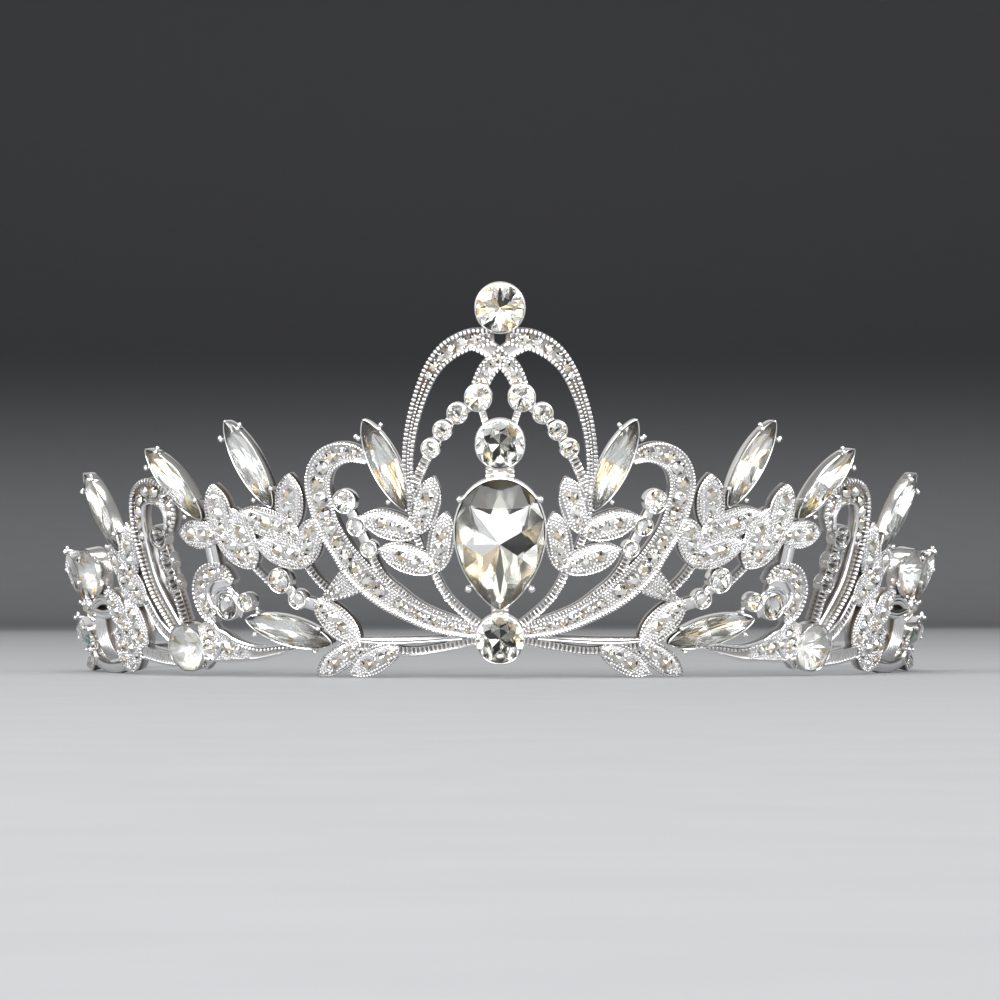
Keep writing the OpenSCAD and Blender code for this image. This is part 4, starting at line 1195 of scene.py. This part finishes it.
# %% Floor and backdrop
BACKDROP_Y, BEND_R = 1.1, 0.35
FLOOR_FRONT, FLOOR_HALF, BACKDROP_TOP = -1.6, 2.2, 1.6


def sweep():
    """A floor that curves up into a backdrop: a line of depth and height carried sideways."""
    bend = np.linspace(0, np.pi / 2, 24)
    depth = np.concatenate([[FLOOR_FRONT], BACKDROP_Y + BEND_R * np.sin(bend), [BACKDROP_Y + BEND_R]])
    level = np.concatenate([[0.0], BEND_R * (1 - np.cos(bend)), [BACKDROP_TOP]])
    x = np.array([-FLOOR_HALF, FLOOR_HALF])[:, None]
    points = np.stack([x + 0 * depth, depth + 0 * x, level + 0 * x], -1).reshape(-1, 3)
    mesh = bpy.data.meshes.new("sweep")
    mesh.from_pydata(points.tolist(), [], grid_quads(2, len(depth), ring=False).tolist())
    mesh.shade_smooth()
    return add_object("sweep", mesh)


def paper(name, low_tone, high_tone, rise):
    """Matt paper whose tone wavers a little, and turns from one grey to another over its height in metres."""
    material, tree, shader = new_material(name)
    where = add_node(tree, "ShaderNodeTexCoord")["Object"]
    level = add_node(tree, "ShaderNodeSeparateXYZ", {0: where})["Z"]
    share = add_node(tree, "ShaderNodeMapRange", {"Value": level, "From Max": rise}, interpolation_type="SMOOTHSTEP")
    tone = add_node(tree, "ShaderNodeMix", data_type="RGBA",
                    inputs={"Factor": share["Result"], "A": (*low_tone, 1), "B": (*high_tone, 1)})
    fibre = add_node(tree, "ShaderNodeTexNoise", {"Scale": 300})["Fac"]
    waver = add_node(tree, "ShaderNodeMapRange", {"Value": fibre, "To Min": 0.95, "To Max": 1.05})
    mottled = add_node(tree, "ShaderNodeVectorMath", {"Vector": tone["Result"], "Scale": waver["Result"]},
                       operation="SCALE")
    feed(tree, shader, {"Roughness": 0.75, "Base Color": mottled["Vector"]})
    return material


floor = sweep()
floor.data.materials.append(paper("grey_paper", (0.29, 0.294, 0.302), (0.033, 0.034, 0.038), 0.16))

# %% Light and camera
from mathutils import Vector

MIDDLE = (0, -0.03, 0.025)
SPARKS = ((-0.35, -0.7, 0.35), (0.3, -0.8, 0.12), (-0.15, -0.9, 0.05), (0.45, -0.5, 0.5), (-0.6, -0.35, 0.15))


def face(thing, place, aim):
    """Puts a lamp or camera in its place and turns it to face a point."""
    thing.location = place
    thing.rotation_euler = (Vector(aim) - Vector(place)).to_track_quat("-Z", "Y").to_euler()


def panel(name, place, size, power):
    """A soft panel that faces the crown's middle."""
    lamp = bpy.data.lights.new(name, "AREA")
    lamp.shape = "RECTANGLE"
    lamp.size, lamp.size_y = size
    lamp.energy = power
    face(add_object(name, lamp), place, MIDDLE)


panel("front_panel", (0, -1.1, 0.34), (1.7, 0.68), 16)
panel("key_panel", (-0.55, -0.5, 0.6), (0.3, 0.3), 5)
panel("fill_panel", (0.7, -0.35, 0.3), (0.15, 0.5), 3)
panel("top_panel", (0, -0.1, 0.8), (0.5, 0.2), 4)
panel("back_panel", (-0.2, 0.6, 0.35), (1.4, 0.5), 1.8)
for k, place in enumerate(SPARKS):
    panel(f"spark_{k}", place, (0.05, 0.05), 1.2)
world = bpy.data.worlds.new("room")
world.use_nodes = True
world.node_tree.nodes["Background"].inputs["Color"].default_value = (0.34, 0.34, 0.35, 1)
bpy.context.scene.world = world
bpy.context.scene.view_settings.view_transform = "Standard"
bpy.context.scene.view_settings.exposure = -0.3

CAMERA_HEIGHT, CAMERA_DISTANCE, LENS = 0.01, 0.45, 120
FRONT_Y, AIM_HEIGHT = -0.065, 0.024
camera = bpy.data.cameras.new("camera")
camera.lens = LENS
camera.sensor_width = 36
camera.clip_start = 0.01
view = add_object("camera", camera)
face(view, (0, FRONT_Y - CAMERA_DISTANCE, CAMERA_HEIGHT), (0, FRONT_Y, AIM_HEIGHT))
bpy.context.scene.camera = view

# %% Measure and finish
print("cad box mm", [round(c * 1000, 2) for c in (*cad_lo, *cad_hi)])
print("triangles in all:", sum(triangles.values()))
